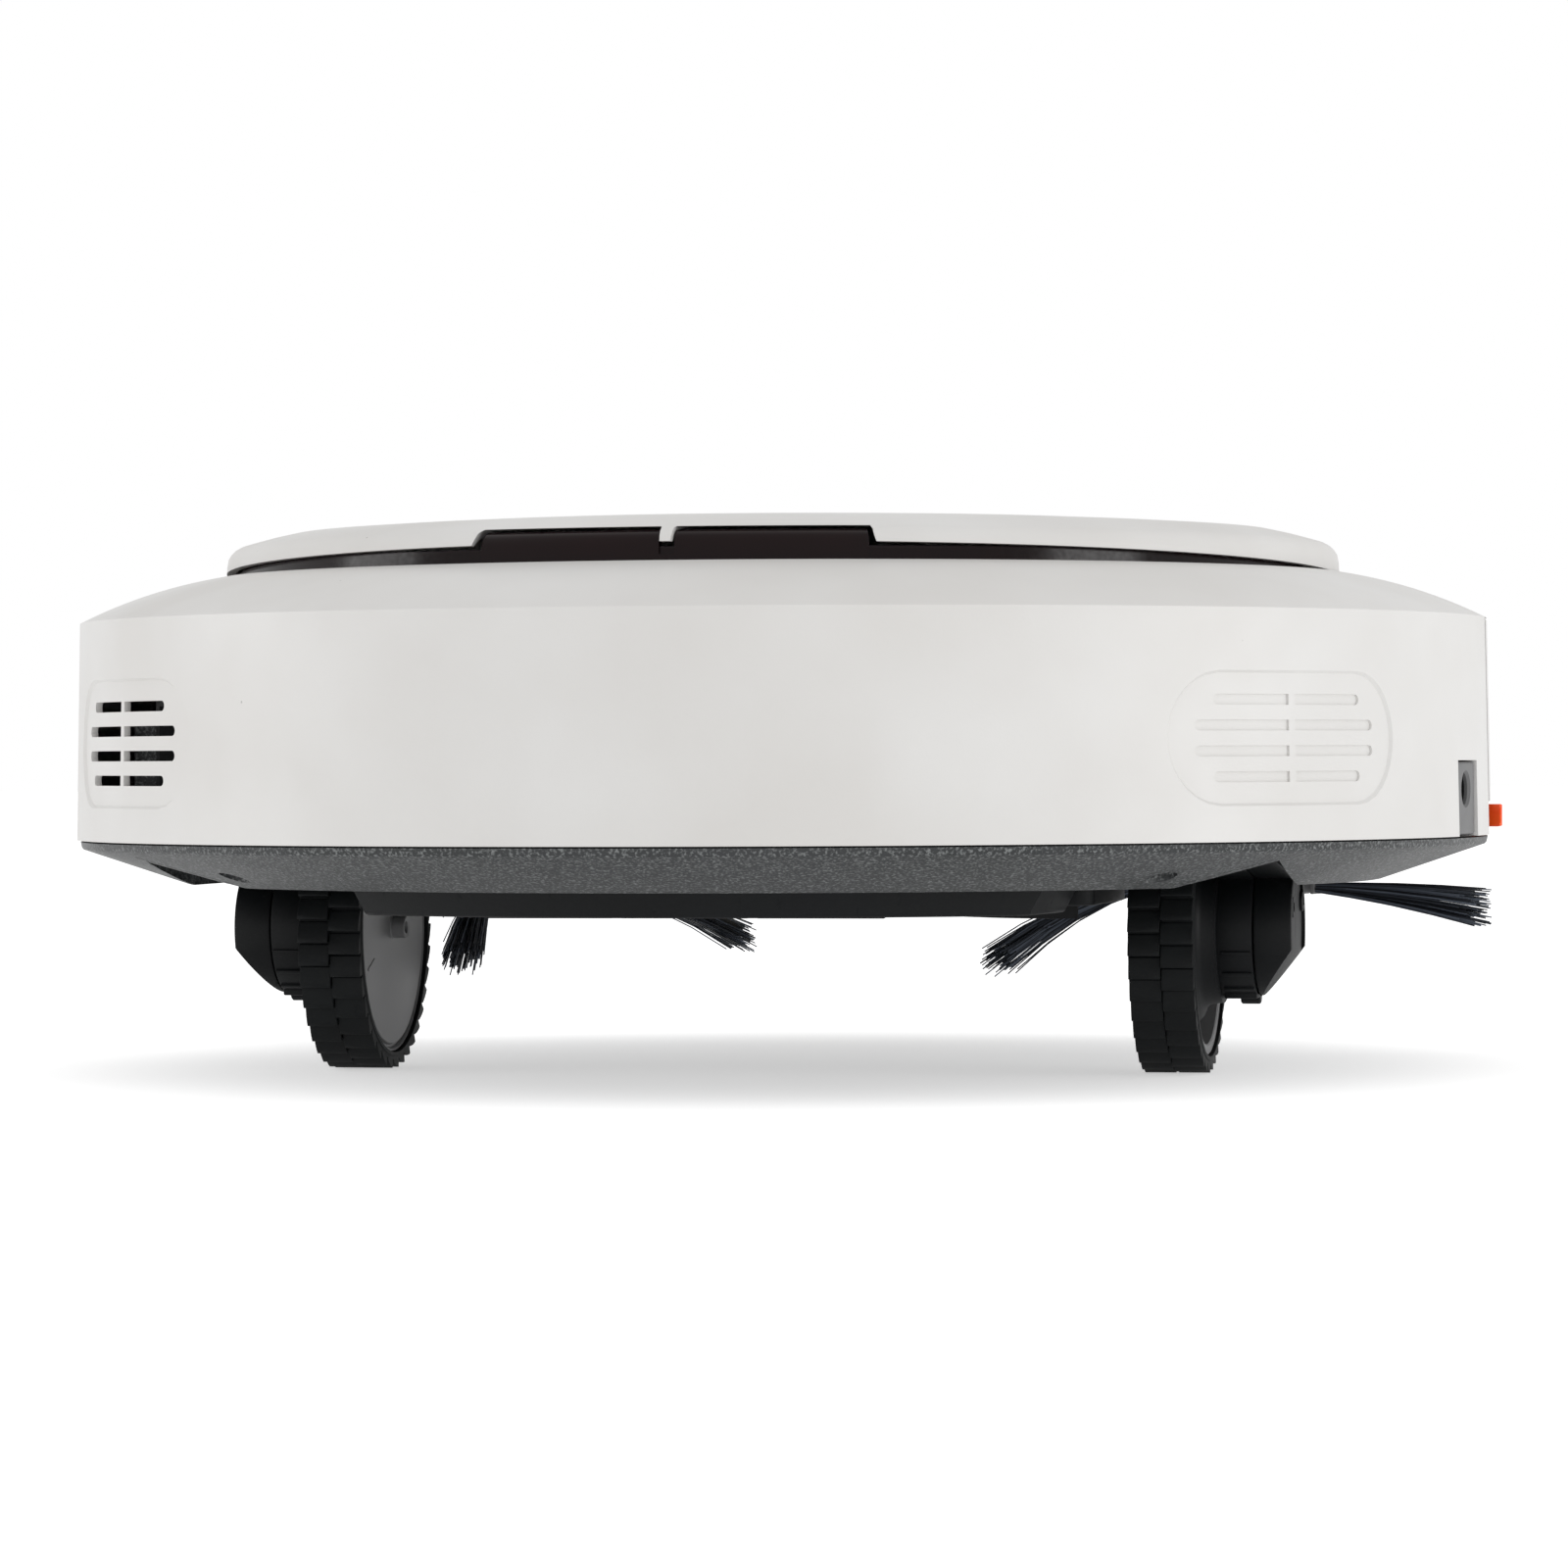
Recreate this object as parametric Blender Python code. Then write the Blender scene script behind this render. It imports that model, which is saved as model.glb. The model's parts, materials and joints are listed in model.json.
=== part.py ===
"""Robot vacuum cleaner: two sprung drive wheels, a castor, a main brush and two side brushes.

The script works in millimetres and scales the finished meshes to metres. +X is the robot's right,
+Y its front. Heights in the script are measured from the lower edge of the white side wall, and
LIFT raises the finished model so that z = 0 is the floor under the hanging drive wheels.
"""
from math import acos, asin, atan2, cos, degrees, hypot, pi, radians, sin, sqrt

import bmesh
import bpy
from mathutils import Matrix, Vector

MM = 0.001
TAU = 2 * pi
GAP = 0.3                      # between pieces that rest on each other
WALL = 2.2                     # moulded casing walls

# Round casing
SHELL_SEGMENTS = 56
BODY_R = 165.0                 # side wall at its lower edge
BAND_TOP_R = 164.1             # side wall at its sharp upper edge
BAND_HEIGHT = 50.0
RIM_R = 131.0                  # inner edge of the sloping ring
RIM_Z = 60.6
DECK_Z = 54.2                  # floor under the lid
DECK_THICK = 2.0
SEAM = 2.5                     # open seam between the rear wall and the bumper, its travel included
BUMPER_TRAVEL = 2.0

# Chassis
LIP_R = 164.2
LIP_Z = -0.4
CONE_TOP_R = 163.7
CONE_TOP_Z = -2.0
BOTTOM_R = 139.3
BOTTOM_Z = -10.3
FLOOR_THICK = 2.5
INNER_RIM_R = 160.0            # upstanding rim inside the side wall
INNER_RIM_Z = 10.0

# Drive wheels and their swinging gearboxes, right side
WHEEL_R = 33.0
TYRE_IN_X = 88.4
TYRE_OUT_X = 103.4
AXLE_Y = -22.0
AXLE_DROP = 20.9               # wheel axis below the side wall's lower edge when it hangs
PIVOT_Y = -75.0
PIVOT_Z = 5.0
DRUM_R = 15.5
PIVOT_BOSS_R = 9.0
SHOULDER = (-24.0, -3.5)       # the arm's shoulder over the drum, as (y, z)
SHOULDER_R = 7.0
CASE_IN_X = 106.0
CASE_SPLIT_X = 114.5
COVER_OUT_X = 123.4
LIFT = WHEEL_R + AXLE_DROP

# Wells over the drive wheels
WELL_IN_X = 85.0
WELL_OUT_X = 127.0
WELL_BACK_Y = -93.0
WELL_STEP_Y = -60.0
WELL_FRONT_Y = 22.0
WELL_TOP_Z = 49.2
WELL_LOW_TOP_Z = 24.0
WELL_WALL = 2.0

# Castor
CASTOR_Y = 120.0
CASTOR_TRAIL = 3.0
CASTOR_WHEEL_R = 12.0
CASTOR_AXLE_Z = -8.5
CASTOR_FORK_R = 19.0
CASTOR_CUP_R = 21.0

# Main brush
BRUSH_Y = -37.0
BRUSH_Z = 1.0
BRUSH_R = 19.4
BRUSH_HALF = 76.0
CHAMBER_HALF = 79.0
CHAMBER_BACK_Y = -60.0
CHAMBER_FRONT_Y = -14.0
CHAMBER_TOP_Z = 24.0

# Side brushes
SIDE_BRUSH_X = 91.0
SIDE_BRUSH_Y = 89.0
SIDE_BRUSH_REACH = 71.0
TUFT_ANGLES = {"right": (-13.8, 106.2, -133.8), "left": (36.2, 156.2, -83.8)}

# Lid
LID_R = 130.2
LID_EDGE_Z = 60.4
LID_TOP_Z = 73.5
LID_SKIN = 2.0
LID_TILT = 0.033               # rise of the lid's lower edge towards the rear, per mm
HINGE_Y = 124.0
HINGE_Z = 62.2
WINDOW_LOW_HALF_DEG = 21.1
WINDOW_HIGH_HALF_DEG = 19.8
WINDOW_TOP_Z = 68.0
TAB_HALF = 1.4

# Start button in the lid
BUTTON_Y = 62.0
BUTTON_R = 9.0

# Exhaust slots and their blind twin
VENT_AZIMUTH_DEG = 52.85
VENT_Z = 22.1
VENT_HALF_WIDTH = 34.8
VENT_HALF_HEIGHT = 13.9
VENT_RECESS = 0.7
SLOT_PITCH = 5.5
SLOT_HALF_HEIGHT = 1.15
SLOT_HALF_WIDTHS = (22.8, 27.8, 27.8, 22.8)
SLOT_RIB_HALF = 1.0

# Charging socket and power switch
SOCKET_AZIMUTH_DEG = 80.5
SOCKET_HALF_WIDTH = 8.2
SOCKET_TOP_Z = 16.8
SOCKET_HOLE_R = 3.7
SOCKET_HOLE_Z = 10.6
SWITCH_Y = 17.2
SWITCH_Z = 4.25
SWITCH_PIVOT_X = 159.5

# Dust bin, fan and battery
BIN_LEFT_X = -28.0
BIN_RIGHT_X = 80.0
BIN_FRONT_Y = -64.0
BIN_BACK_R = 127.0
BIN_LOW_Z = -7.3
BIN_TOP_Z = 51.0
BIN_WALL = 1.8
FAN_Y = -100.0
FAN_Z = 20.0
FAN_R = 24.0
DUCT_HALF_HEIGHT = 12.0
BATTERY = ((-36.0, 18.0, -7.0), (36.0, 92.0, 14.0))
DOOR_HALF = 40.0
DOOR_Y = (16.0, 94.0)

THROAT_HALF = 30.0             # suction throat between the brush chamber and the dust bin
THROAT_Z = (4.0, 20.0)

FLOOR_SENSORS = {"front": (180.0, 151.0), "left": (-122.0, 148.0), "right": (122.0, 148.0)}
SENSOR_R = 5.0
SCREW_AZIMUTH_DEG = 44.5
SCREW_R = 147.0

FINISHES = {                   # colour, roughness, metallic
    "white_plastic": ((0.84, 0.84, 0.83), 0.42, 0.0),
    "black_textured_plastic": ((0.035, 0.037, 0.038), 0.72, 0.0),
    "dark_plastic": ((0.022, 0.024, 0.026), 0.5, 0.0),
    "smoked_plastic": ((0.03, 0.008, 0.007), 0.15, 0.0),
    "grey_plastic": ((0.13, 0.13, 0.135), 0.5, 0.0),
    "rubber": ((0.014, 0.014, 0.015), 0.8, 0.0),
    "bristle": ((0.012, 0.014, 0.02), 0.6, 0.0),
    "orange_plastic": ((0.9, 0.09, 0.01), 0.4, 0.0),
    "steel": ((0.55, 0.55, 0.56), 0.3, 1.0),
    "circuit_board": ((0.02, 0.16, 0.07), 0.5, 0.0),
    "battery_wrap": ((0.03, 0.09, 0.3), 0.45, 0.0),
    "filter_paper": ((0.8, 0.8, 0.76), 0.9, 0.0),
    "contact_metal": ((0.72, 0.62, 0.42), 0.3, 1.0),
}


# ---------------------------------------------------------------- modelling helpers

def heading(azimuth_deg, radius):
    """The place at this radius, with azimuth 0 at the rear and 90 on the robot's right."""
    a = radians(azimuth_deg)
    return radius * sin(a), -radius * cos(a)


def arc(cx, cy, radius, from_deg, to_deg, steps):
    """Points along a circular arc, both ends included."""
    turn = (to_deg - from_deg) / steps
    angles = [radians(from_deg + turn * k) for k in range(steps + 1)]
    return [(cx + radius * cos(a), cy + radius * sin(a)) for a in angles]


def tidy(bm):
    """Merges doubles and turns every face outwards."""
    bmesh.ops.remove_doubles(bm, verts=bm.verts, dist=0.001)
    bmesh.ops.recalc_face_normals(bm, faces=bm.faces)
    return bm


def moved(bm, x=0.0, y=0.0, z=0.0):
    bmesh.ops.translate(bm, verts=bm.verts, vec=(x, y, z))
    return bm


def turned_about(bm, angle, axis, centre=(0, 0, 0)):
    bmesh.ops.rotate(bm, verts=bm.verts, cent=centre, matrix=Matrix.Rotation(angle, 3, axis))
    return bm


def mirrored(bm, side):
    """The piece as it is for side 1, or its mirror image in the YZ plane for side -1."""
    if side < 0:
        bmesh.ops.scale(bm, verts=bm.verts, vec=(-1, 1, 1))
        bmesh.ops.reverse_faces(bm, faces=bm.faces)
    return bm


def turned(outline, segments=SHELL_SEGMENTS, start_deg=0.0, sweep_deg=360.0):
    """A solid turned about Z from an outline of (radius, height) points."""
    bm = bmesh.new()
    verts = [bm.verts.new((r, 0, h)) for r, h in outline]
    whole = sweep_deg >= 360
    if whole:
        edges = [bm.edges.new((verts[k - 1], verts[k])) for k in range(len(verts))
                 if outline[k - 1][0] > 0 or outline[k][0] > 0]
        geom = verts + edges
    else:
        face = bm.faces.new(verts)
        geom = verts + list(face.edges) + [face]
    bmesh.ops.rotate(bm, verts=verts, cent=(0, 0, 0),
                     matrix=Matrix.Rotation(radians(start_deg), 3, "Z"))
    bmesh.ops.spin(bm, geom=geom, cent=(0, 0, 0), axis=(0, 0, 1), angle=radians(sweep_deg),
                   steps=segments, use_merge=whole, use_duplicate=False)
    return tidy(bm)


def rod(radius, low, high, axis="Z", centre=(0, 0), segments=16, bore=0.0, chamfer=0.0):
    """A round bar or tube along an axis. The centre is given in the other two axes, in order."""
    c = chamfer
    outline = [(bore, low), (radius - c, low), (radius, low + c), (radius, high - c),
               (radius - c, high), (bore, high)]
    if not c:
        outline = [(bore, low), (radius, low), (radius, high), (bore, high)]
    bm = turned(outline, segments)
    if axis == "X":
        turned_about(bm, pi / 2, "Y")
        return moved(bm, 0, centre[0], centre[1])
    if axis == "Y":
        turned_about(bm, -pi / 2, "X")
        return moved(bm, centre[0], 0, centre[1])
    return moved(bm, centre[0], centre[1], 0)


def extruded(outline, low, high, axis="Z"):
    """A prism: the outline is in the two axes left, in order, and runs from low to high."""
    place = {"Z": lambda u, v: (u, v, low), "X": lambda u, v: (low, u, v),
             "Y": lambda u, v: (u, low, v)}[axis]
    way = {"Z": (0, 0, 1), "X": (1, 0, 0), "Y": (0, 1, 0)}[axis]
    bm = bmesh.new()
    face = bm.faces.new([bm.verts.new(place(u, v)) for u, v in outline])
    grown = bmesh.ops.extrude_face_region(bm, geom=[face])["geom"]
    top = [g for g in grown if isinstance(g, bmesh.types.BMVert)]
    bmesh.ops.translate(bm, verts=top, vec=Vector(way) * (high - low))
    return tidy(bm)


def box(low, high, bevel=0.0, upright_only=False):
    """A block between two corners, with its edges, or only its upright ones, bevelled."""
    bm = bmesh.new()
    bmesh.ops.create_cube(bm, size=1)
    size = Vector(high) - Vector(low)
    bmesh.ops.scale(bm, verts=bm.verts, vec=size)
    bmesh.ops.translate(bm, verts=bm.verts, vec=(Vector(high) + Vector(low)) / 2)
    if bevel:
        edges = [e for e in bm.edges
                 if not upright_only or abs((e.verts[0].co - e.verts[1].co).z) > 0.9 * size.z]
        bmesh.ops.bevel(bm, geom=edges, offset=bevel, segments=2, profile=0.5, affect="EDGES",
                        material=-1)
    return bm


def rounded_outline(x0, x1, y0, y1, radius, steps=3):
    """A rectangle with rounded corners, counter-clockwise."""
    corners = ((x1 - radius, y1 - radius, 0), (x0 + radius, y1 - radius, 90),
               (x0 + radius, y0 + radius, 180), (x1 - radius, y0 + radius, 270))
    return [p for cx, cy, a in corners for p in arc(cx, cy, radius, a, a + 90, steps)]


def material(name):
    """The Principled material of one of the finishes."""
    known = bpy.data.materials.get(name)
    if known:
        return known
    colour, roughness, metallic = FINISHES[name]
    made = bpy.data.materials.new(name)
    made.use_nodes = True
    shader = made.node_tree.nodes["Principled BSDF"]
    shader.inputs["Base Color"].default_value = (*colour, 1)
    shader.inputs["Roughness"].default_value = roughness
    shader.inputs["Metallic"].default_value = metallic
    made.diffuse_color = (*colour, 1)
    return made


def linked(name, bm, origin=(0, 0, 0)):
    """A new object from a mesh in script millimetres, with its origin at the point given."""
    bmesh.ops.translate(bm, verts=bm.verts, vec=-Vector(origin))
    bmesh.ops.scale(bm, verts=bm.verts, vec=(MM, MM, MM))
    mesh = bpy.data.meshes.new(name)
    bm.to_mesh(mesh)
    bm.free()
    made = bpy.data.objects.new(name, mesh)
    made.location = (Vector(origin) + Vector((0, 0, LIFT))) * MM
    bpy.context.scene.collection.objects.link(made)
    return made


def piece(name, bm, finish, origin=(0, 0, 0)):
    """A sub-part in its own node."""
    made = linked(name, bm, origin)
    made.data.materials.append(material(finish))
    made.data.shade_smooth()
    made.data.set_sharp_from_angle(angle=radians(35))
    return made


def combine(target, how, *tools):
    """Adds or cuts away tool shapes with Boolean modifiers."""
    for bm in tools:
        tool = linked(f"{target.name}_tool_{len(target.modifiers) + 1}", bm)
        tool.hide_render = True
        tool.display_type = "WIRE"
        step = target.modifiers.new(how.lower(), "BOOLEAN")
        step.operation = how
        step.solver = "EXACT"
        step.object = tool
    return target


def cut(target, *tools):
    return combine(target, "DIFFERENCE", *tools)


def unite(target, *tools):
    return combine(target, "UNION", *tools)


# ---------------------------------------------------------------- casing

def base_shell():
    """The chassis: a tray with a conical flank, wheel wells, brush chamber and castor cup."""
    t = FLOOR_THICK
    outline = [(0, BOTTOM_Z), (BOTTOM_R, BOTTOM_Z), (CONE_TOP_R, CONE_TOP_Z), (LIP_R, LIP_Z),
               (INNER_RIM_R, LIP_Z), (INNER_RIM_R, INNER_RIM_Z),
               (INNER_RIM_R - 2, INNER_RIM_Z), (INNER_RIM_R - 2, CONE_TOP_Z + 0.5),
               (BOTTOM_R - 1, BOTTOM_Z + t), (0, BOTTOM_Z + t)]
    base = piece("base_shell", turned(outline), "black_textured_plastic")
    w = WELL_WALL
    low = BOTTOM_Z + 1
    for side in (1, -1):
        unite(base,
              mirrored(box((WELL_IN_X - w, WELL_STEP_Y - w, low),
                           (WELL_OUT_X + w, WELL_FRONT_Y + w, WELL_TOP_Z + w)), side),
              mirrored(box((WELL_IN_X - w, WELL_BACK_Y - w, low),
                           (WELL_OUT_X + w, WELL_STEP_Y, WELL_LOW_TOP_Z + w)), side))
    unite(base,
          box((-CHAMBER_HALF - 5, CHAMBER_BACK_Y - w, low),
              (CHAMBER_HALF + 5, CHAMBER_FRONT_Y + w, CHAMBER_TOP_Z + w)),
          rod(CASTOR_CUP_R + 2, low, 14, centre=(0, CASTOR_Y), segments=24))
    for side in (1, -1):
        x, y = heading(side * SCREW_AZIMUTH_DEG, SCREW_R)
        unite(base, rod(5, -7, 5, centre=(x, y), segments=16))
    cut(base, under_flank())
    deep = BOTTOM_Z - 5
    for side in (1, -1):
        cut(base,
            mirrored(box((WELL_IN_X, WELL_STEP_Y, deep),
                         (WELL_OUT_X, WELL_FRONT_Y, WELL_TOP_Z)), side),
            mirrored(box((WELL_IN_X, WELL_BACK_Y, deep),
                         (WELL_OUT_X, WELL_STEP_Y + 1, WELL_LOW_TOP_Z)), side),
            mirrored(rod(2.8, WELL_OUT_X - 1, WELL_OUT_X + 3, "X", (PIVOT_Y, PIVOT_Z), 16), side),
            mirrored(rod(4.3, deep, 0, centre=(SIDE_BRUSH_X, SIDE_BRUSH_Y), segments=16), side))
        x, y = heading(side * SCREW_AZIMUTH_DEG, SCREW_R)
        cut(base,
            rod(3.5, -14, -4, centre=(x, y), segments=16),
            rod(1.8, -5, 8, centre=(x, y), segments=12))
    cut(base,
        box((-CHAMBER_HALF, CHAMBER_BACK_Y, deep), (CHAMBER_HALF, CHAMBER_FRONT_Y, CHAMBER_TOP_Z)),
        box((-THROAT_HALF, CHAMBER_BACK_Y - 4, THROAT_Z[0]),
            (THROAT_HALF, CHAMBER_BACK_Y + 1, THROAT_Z[1])),
        rod(CASTOR_CUP_R, deep, 12, centre=(0, CASTOR_Y), segments=32),
        rod(3.5, 11, 16, centre=(0, CASTOR_Y), segments=16),
        box((-DOOR_HALF - GAP, DOOR_Y[0] - GAP, deep), (DOOR_HALF + GAP, DOOR_Y[1] + GAP, 0)),
        socket_block(GAP, BODY_R + 4, 12),
        box((150, SWITCH_Y - 7, LIP_Z + 0.6), (168, SWITCH_Y + 7, 20)))
    for name, (azimuth, radius) in FLOOR_SENSORS.items():
        x, y = heading(azimuth, radius)
        cut(base, rod(SENSOR_R + GAP, -14, 0, centre=(x, y), segments=16))
    return base


def under_flank():
    """A cutter just under the conical flank, which trims the wheel wells' walls to it."""
    rise = (CONE_TOP_Z - BOTTOM_Z) / (CONE_TOP_R - BOTTOM_R)
    near, far = BOTTOM_R + 1.7, BOTTOM_R + 30.7
    line = [(r, BOTTOM_Z + rise * (r - BOTTOM_R) - 0.1) for r in (far, near)]
    return turned([(near, BOTTOM_Z - 3), (far, BOTTOM_Z - 3)] + line)


def socket_block(grow, outer_r, inner_depth):
    """The charging socket's block, or with grow above 0 the room cut for it."""
    half = SOCKET_HALF_WIDTH + grow
    bm = box((-half, -outer_r, -1 if grow else GAP),
             (half, -(BODY_R - inner_depth - grow), SOCKET_TOP_Z + grow))
    return turned_about(bm, radians(SOCKET_AZIMUTH_DEG), "Z")


def top_cover():
    """The white upper casing: sloping ring, rear side wall, and the deck under the lid."""
    slope = arc_between((BAND_TOP_R, BAND_HEIGHT), (RIM_R, RIM_Z), 108.0, 6)
    under = arc_between((BAND_TOP_R - WALL, BAND_HEIGHT), (RIM_R + WALL, RIM_Z - WALL), 108.0, 4)
    outline = slope + [(RIM_R, DECK_Z), (0, DECK_Z), (0, DECK_Z - DECK_THICK),
                       (RIM_R + WALL, DECK_Z - DECK_THICK)] + under[::-1]
    bm = turned(outline)
    underside = [f for f in bm.faces if f.normal.z < -0.9]
    wall = [f for f in underside if f.calc_center_median().y < 0
            and abs(f.calc_center_median().z - BAND_HEIGHT) < 0.1]
    grown = bmesh.ops.extrude_face_region(bm, geom=wall)["geom"]
    verts = [g for g in grown if isinstance(g, bmesh.types.BMVert)]
    bmesh.ops.delete(bm, geom=wall, context="FACES")
    spread = BODY_R / BAND_TOP_R
    bmesh.ops.scale(bm, verts=verts, vec=(spread, spread, 1))
    bmesh.ops.translate(bm, verts=verts, vec=(0, 0, -BAND_HEIGHT))
    cover = piece("top_cover", tidy(bm), "white_plastic")
    for side in (1, -1):
        cut(cover, vent_recess(side))
        cut(cover, *vent_slots(side))
    cut(cover, socket_block(GAP, BODY_R + 4, 12), extruded(bin_outline(GAP), 50, 60))
    cut(cover, box((-46, HINGE_Y - 4, DECK_Z - 0.5), (46, RIM_R - 1.5, DECK_Z + 3)))
    for x in (-11, 11):
        unite(cover, lid_lug(x))
    for x in (-11, 11):
        cut(cover, rod(1.6, x - 4, x + 4, "X", (HINGE_Y, HINGE_Z), 12))
    return cover


def arc_between(start, end, radius, steps):
    """Points on the upper of the two arcs of this radius from start to end, both included."""
    a, b = Vector(start), Vector(end)
    half = (b - a) / 2
    across = Vector((half.y, -half.x)).normalized()
    if across.y > 0:
        across = -across
    centre = a + half + across * sqrt(radius ** 2 - half.length ** 2)
    first = atan2(a.y - centre.y, a.x - centre.x)
    last = atan2(b.y - centre.y, b.x - centre.x)
    turn = [first + (last - first) * k / steps for k in range(steps + 1)]
    return [(centre.x + radius * cos(t), centre.y + radius * sin(t)) for t in turn]


def vent_recess(side):
    """A cutter for the shallow stadium-shaped recess in the side wall."""
    ends = VENT_HALF_WIDTH - VENT_HALF_HEIGHT
    sections = []
    for k in range(-5, 6):
        across = VENT_HALF_WIDTH * sin(k * pi / 10)
        past = max(abs(across) - ends, 0)
        half = max(sqrt(VENT_HALF_HEIGHT ** 2 - past ** 2), 2.0)
        sections.append((across, half))
    return lofted([vent_section(across, half, side) for across, half in sections])


def vent_section(across, half, side):
    """Four corners of the recess's cutter at one distance along the wall."""
    azimuth = side * VENT_AZIMUTH_DEG + degrees(across / BODY_R)
    inner = heading(azimuth, BODY_R - VENT_RECESS)
    outer = heading(azimuth, BODY_R + 4)
    low, high = VENT_Z - half, VENT_Z + half
    return [(*inner, low), (*outer, low), (*outer, high), (*inner, high)]


def lofted(rings):
    """A closed solid through rings of four corners each."""
    bm = bmesh.new()
    rows = [[bm.verts.new(corner) for corner in ring] for ring in rings]
    bm.faces.new(rows[0])
    bm.faces.new(rows[-1])
    for a, b in zip(rows, rows[1:]):
        for k in range(4):
            bm.faces.new((a[k - 1], a[k], b[k], b[k - 1]))
    return tidy(bm)


def vent_slots(side):
    """The eight half slots of a vent: through the wall on the left, blind on the right."""
    depth = BODY_R - 6 if side < 0 else BODY_R - VENT_RECESS - 0.6
    tools = []
    for row, half_width in enumerate(SLOT_HALF_WIDTHS):
        z = VENT_Z + (1.5 - row) * SLOT_PITCH
        for low, high in ((SLOT_RIB_HALF, half_width), (-half_width, -SLOT_RIB_HALF)):
            angles = [degrees(asin(v / BODY_R)) + side * VENT_AZIMUTH_DEG for v in (low, high)]
            outline = [(depth, z - SLOT_HALF_HEIGHT), (BODY_R + 3, z - SLOT_HALF_HEIGHT),
                       (BODY_R + 3, z + SLOT_HALF_HEIGHT), (depth, z + SLOT_HALF_HEIGHT)]
            tools.append(turned(outline, 2, angles[0] - 90, angles[1] - angles[0]))
    return tools


def bin_outline(grow):
    """The dust bin's plan: three straight sides and a rear one that follows the casing."""
    radius = BIN_BACK_R + grow
    x0, x1 = BIN_LEFT_X - grow, BIN_RIGHT_X + grow
    first = -degrees(asin(x1 / radius))
    last = -degrees(asin(x0 / radius))
    rear = [heading(-(first + (last - first) * k / 8), radius) for k in range(9)]
    return rear + [(x0, BIN_FRONT_Y + grow), (x1, BIN_FRONT_Y + grow)]


def lid_lug(x):
    """A hinge lug that reaches forward from the deck to the pin."""
    eye = arc(HINGE_Y, HINGE_Z, 2.9, -80, 150, 6)
    leg = [(HINGE_Y - 8, HINGE_Z - 3), (HINGE_Y - 8, DECK_Z - 1), (HINGE_Y - 4.2, DECK_Z - 1),
           (HINGE_Y - 4.2, HINGE_Z - 4)]
    return extruded(eye + leg, x - 2, x + 2, "X")


def front_bumper():
    """The front half of the side wall, which slides back when it is pushed."""
    seam_deg = degrees(asin(SEAM / BODY_R))
    top = BAND_HEIGHT - 0.4
    outline = [(BODY_R, 0), (BAND_TOP_R, top), (155, top), (155, top - 2),
               (BAND_TOP_R - WALL, top - 2), (BODY_R - WALL, 0)]
    bm = turned(outline, SHELL_SEGMENTS // 2, seam_deg, 180 - 2 * seam_deg)
    bumper = piece("front_bumper", bm, "white_plastic")
    notch = box((140, -5, -5), (180, SWITCH_Y + 10, 7.6))
    sector = [(BODY_R - WALL - 1, 18), (BODY_R + 2, 18), (BODY_R + 2, 34), (BODY_R - WALL - 1, 34)]
    cut(bumper, notch, turned(sector, 10, 66, 48))
    return bumper


def ir_window():
    outline = [(BODY_R - WALL, 18 + GAP), (BODY_R - 0.3, 18 + GAP), (BODY_R - 0.6, 34 - GAP),
               (BODY_R - WALL - 0.3, 34 - GAP)]
    piece("ir_window", turned(outline, 10, 66.2, 47.6), "smoked_plastic")


def bumper_springs():
    """Two bowed steel leaves between the chassis rim and the bumper."""
    for name, side in (("right", 1), ("left", -1)):
        bow = arc(0, 0, 150, 82.5, 97.5, 6)
        outer = [(x, y + 2.0) for x, y in bow]
        inner = [(x, y + 1.6) for x, y in bow[::-1]]
        bm = moved(extruded(outer + inner, 3, 9), 0, 10.25, 0)
        turned_about(bm, radians(-side * 35), "Z")
        piece(f"bumper_spring_{name}", bm, "steel")


# ---------------------------------------------------------------- lid

def lid():
    """The domed lid: its lower edge rises to the rear, where two windows flank a small tab."""
    outer = [(LID_R, LID_EDGE_Z), (129.8, 64.8), (128.3, 66.8), (125, 68.1), (115, 70.6),
             (80, 72.6), (0, LID_TOP_Z)]
    s = LID_SKIN
    inner = [(0, LID_TOP_Z - s), (80, 72.6 - s), (114.6, 70.6 - s), (124.3, 68.1 - s),
             (126.9, 65.6), (LID_R - s - 0.4, 64.2), (LID_R - s, LID_EDGE_Z)]
    made = piece("lid", turned(outer + inner), "white_plastic", (0, HINGE_Y, HINGE_Z))
    edge = LID_EDGE_Z
    wedge = [(0, edge - 5), (0, edge), (-150, edge + 150 * LID_TILT), (-150, edge - 5)]
    cut(made, extruded(wedge, -160, 160, "X"))
    cut(made, *[window_cut(side) for side in (1, -1)])
    cut(made, rod(BUTTON_R + GAP, 65, 76, centre=(0, BUTTON_Y), segments=32))
    unite(made, lid_knuckle())
    cut(made, rod(1.6, -12, 12, "X", (HINGE_Y, HINGE_Z), 12))
    return made


def window_cut(side):
    """Half of the trapezoid cut out of the lid's rear edge, beside the tab."""
    low, high = (heading(a, 127)[0] for a in (WINDOW_LOW_HALF_DEG, WINDOW_HIGH_HALF_DEG))
    outline = [(TAB_HALF * 0.6, 60), (low + 0.6, 60), (high, WINDOW_TOP_Z), (TAB_HALF, WINDOW_TOP_Z)]
    return mirrored(extruded(outline, -140, -105, "Y"), side)


def lid_knuckle():
    """The lid's hinge knuckle, hung from its inner face."""
    eye = arc(HINGE_Y, HINGE_Z, 2.9, -90, 0, 3)
    up = [(HINGE_Y + 2.9, 66.6), (HINGE_Y - 8, 68.6), (HINGE_Y - 8, 66)]
    back = arc(HINGE_Y, HINGE_Z, 2.9, 180, 240, 2)
    return extruded(eye + up + back, -8.6, 8.6, "X")


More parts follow.
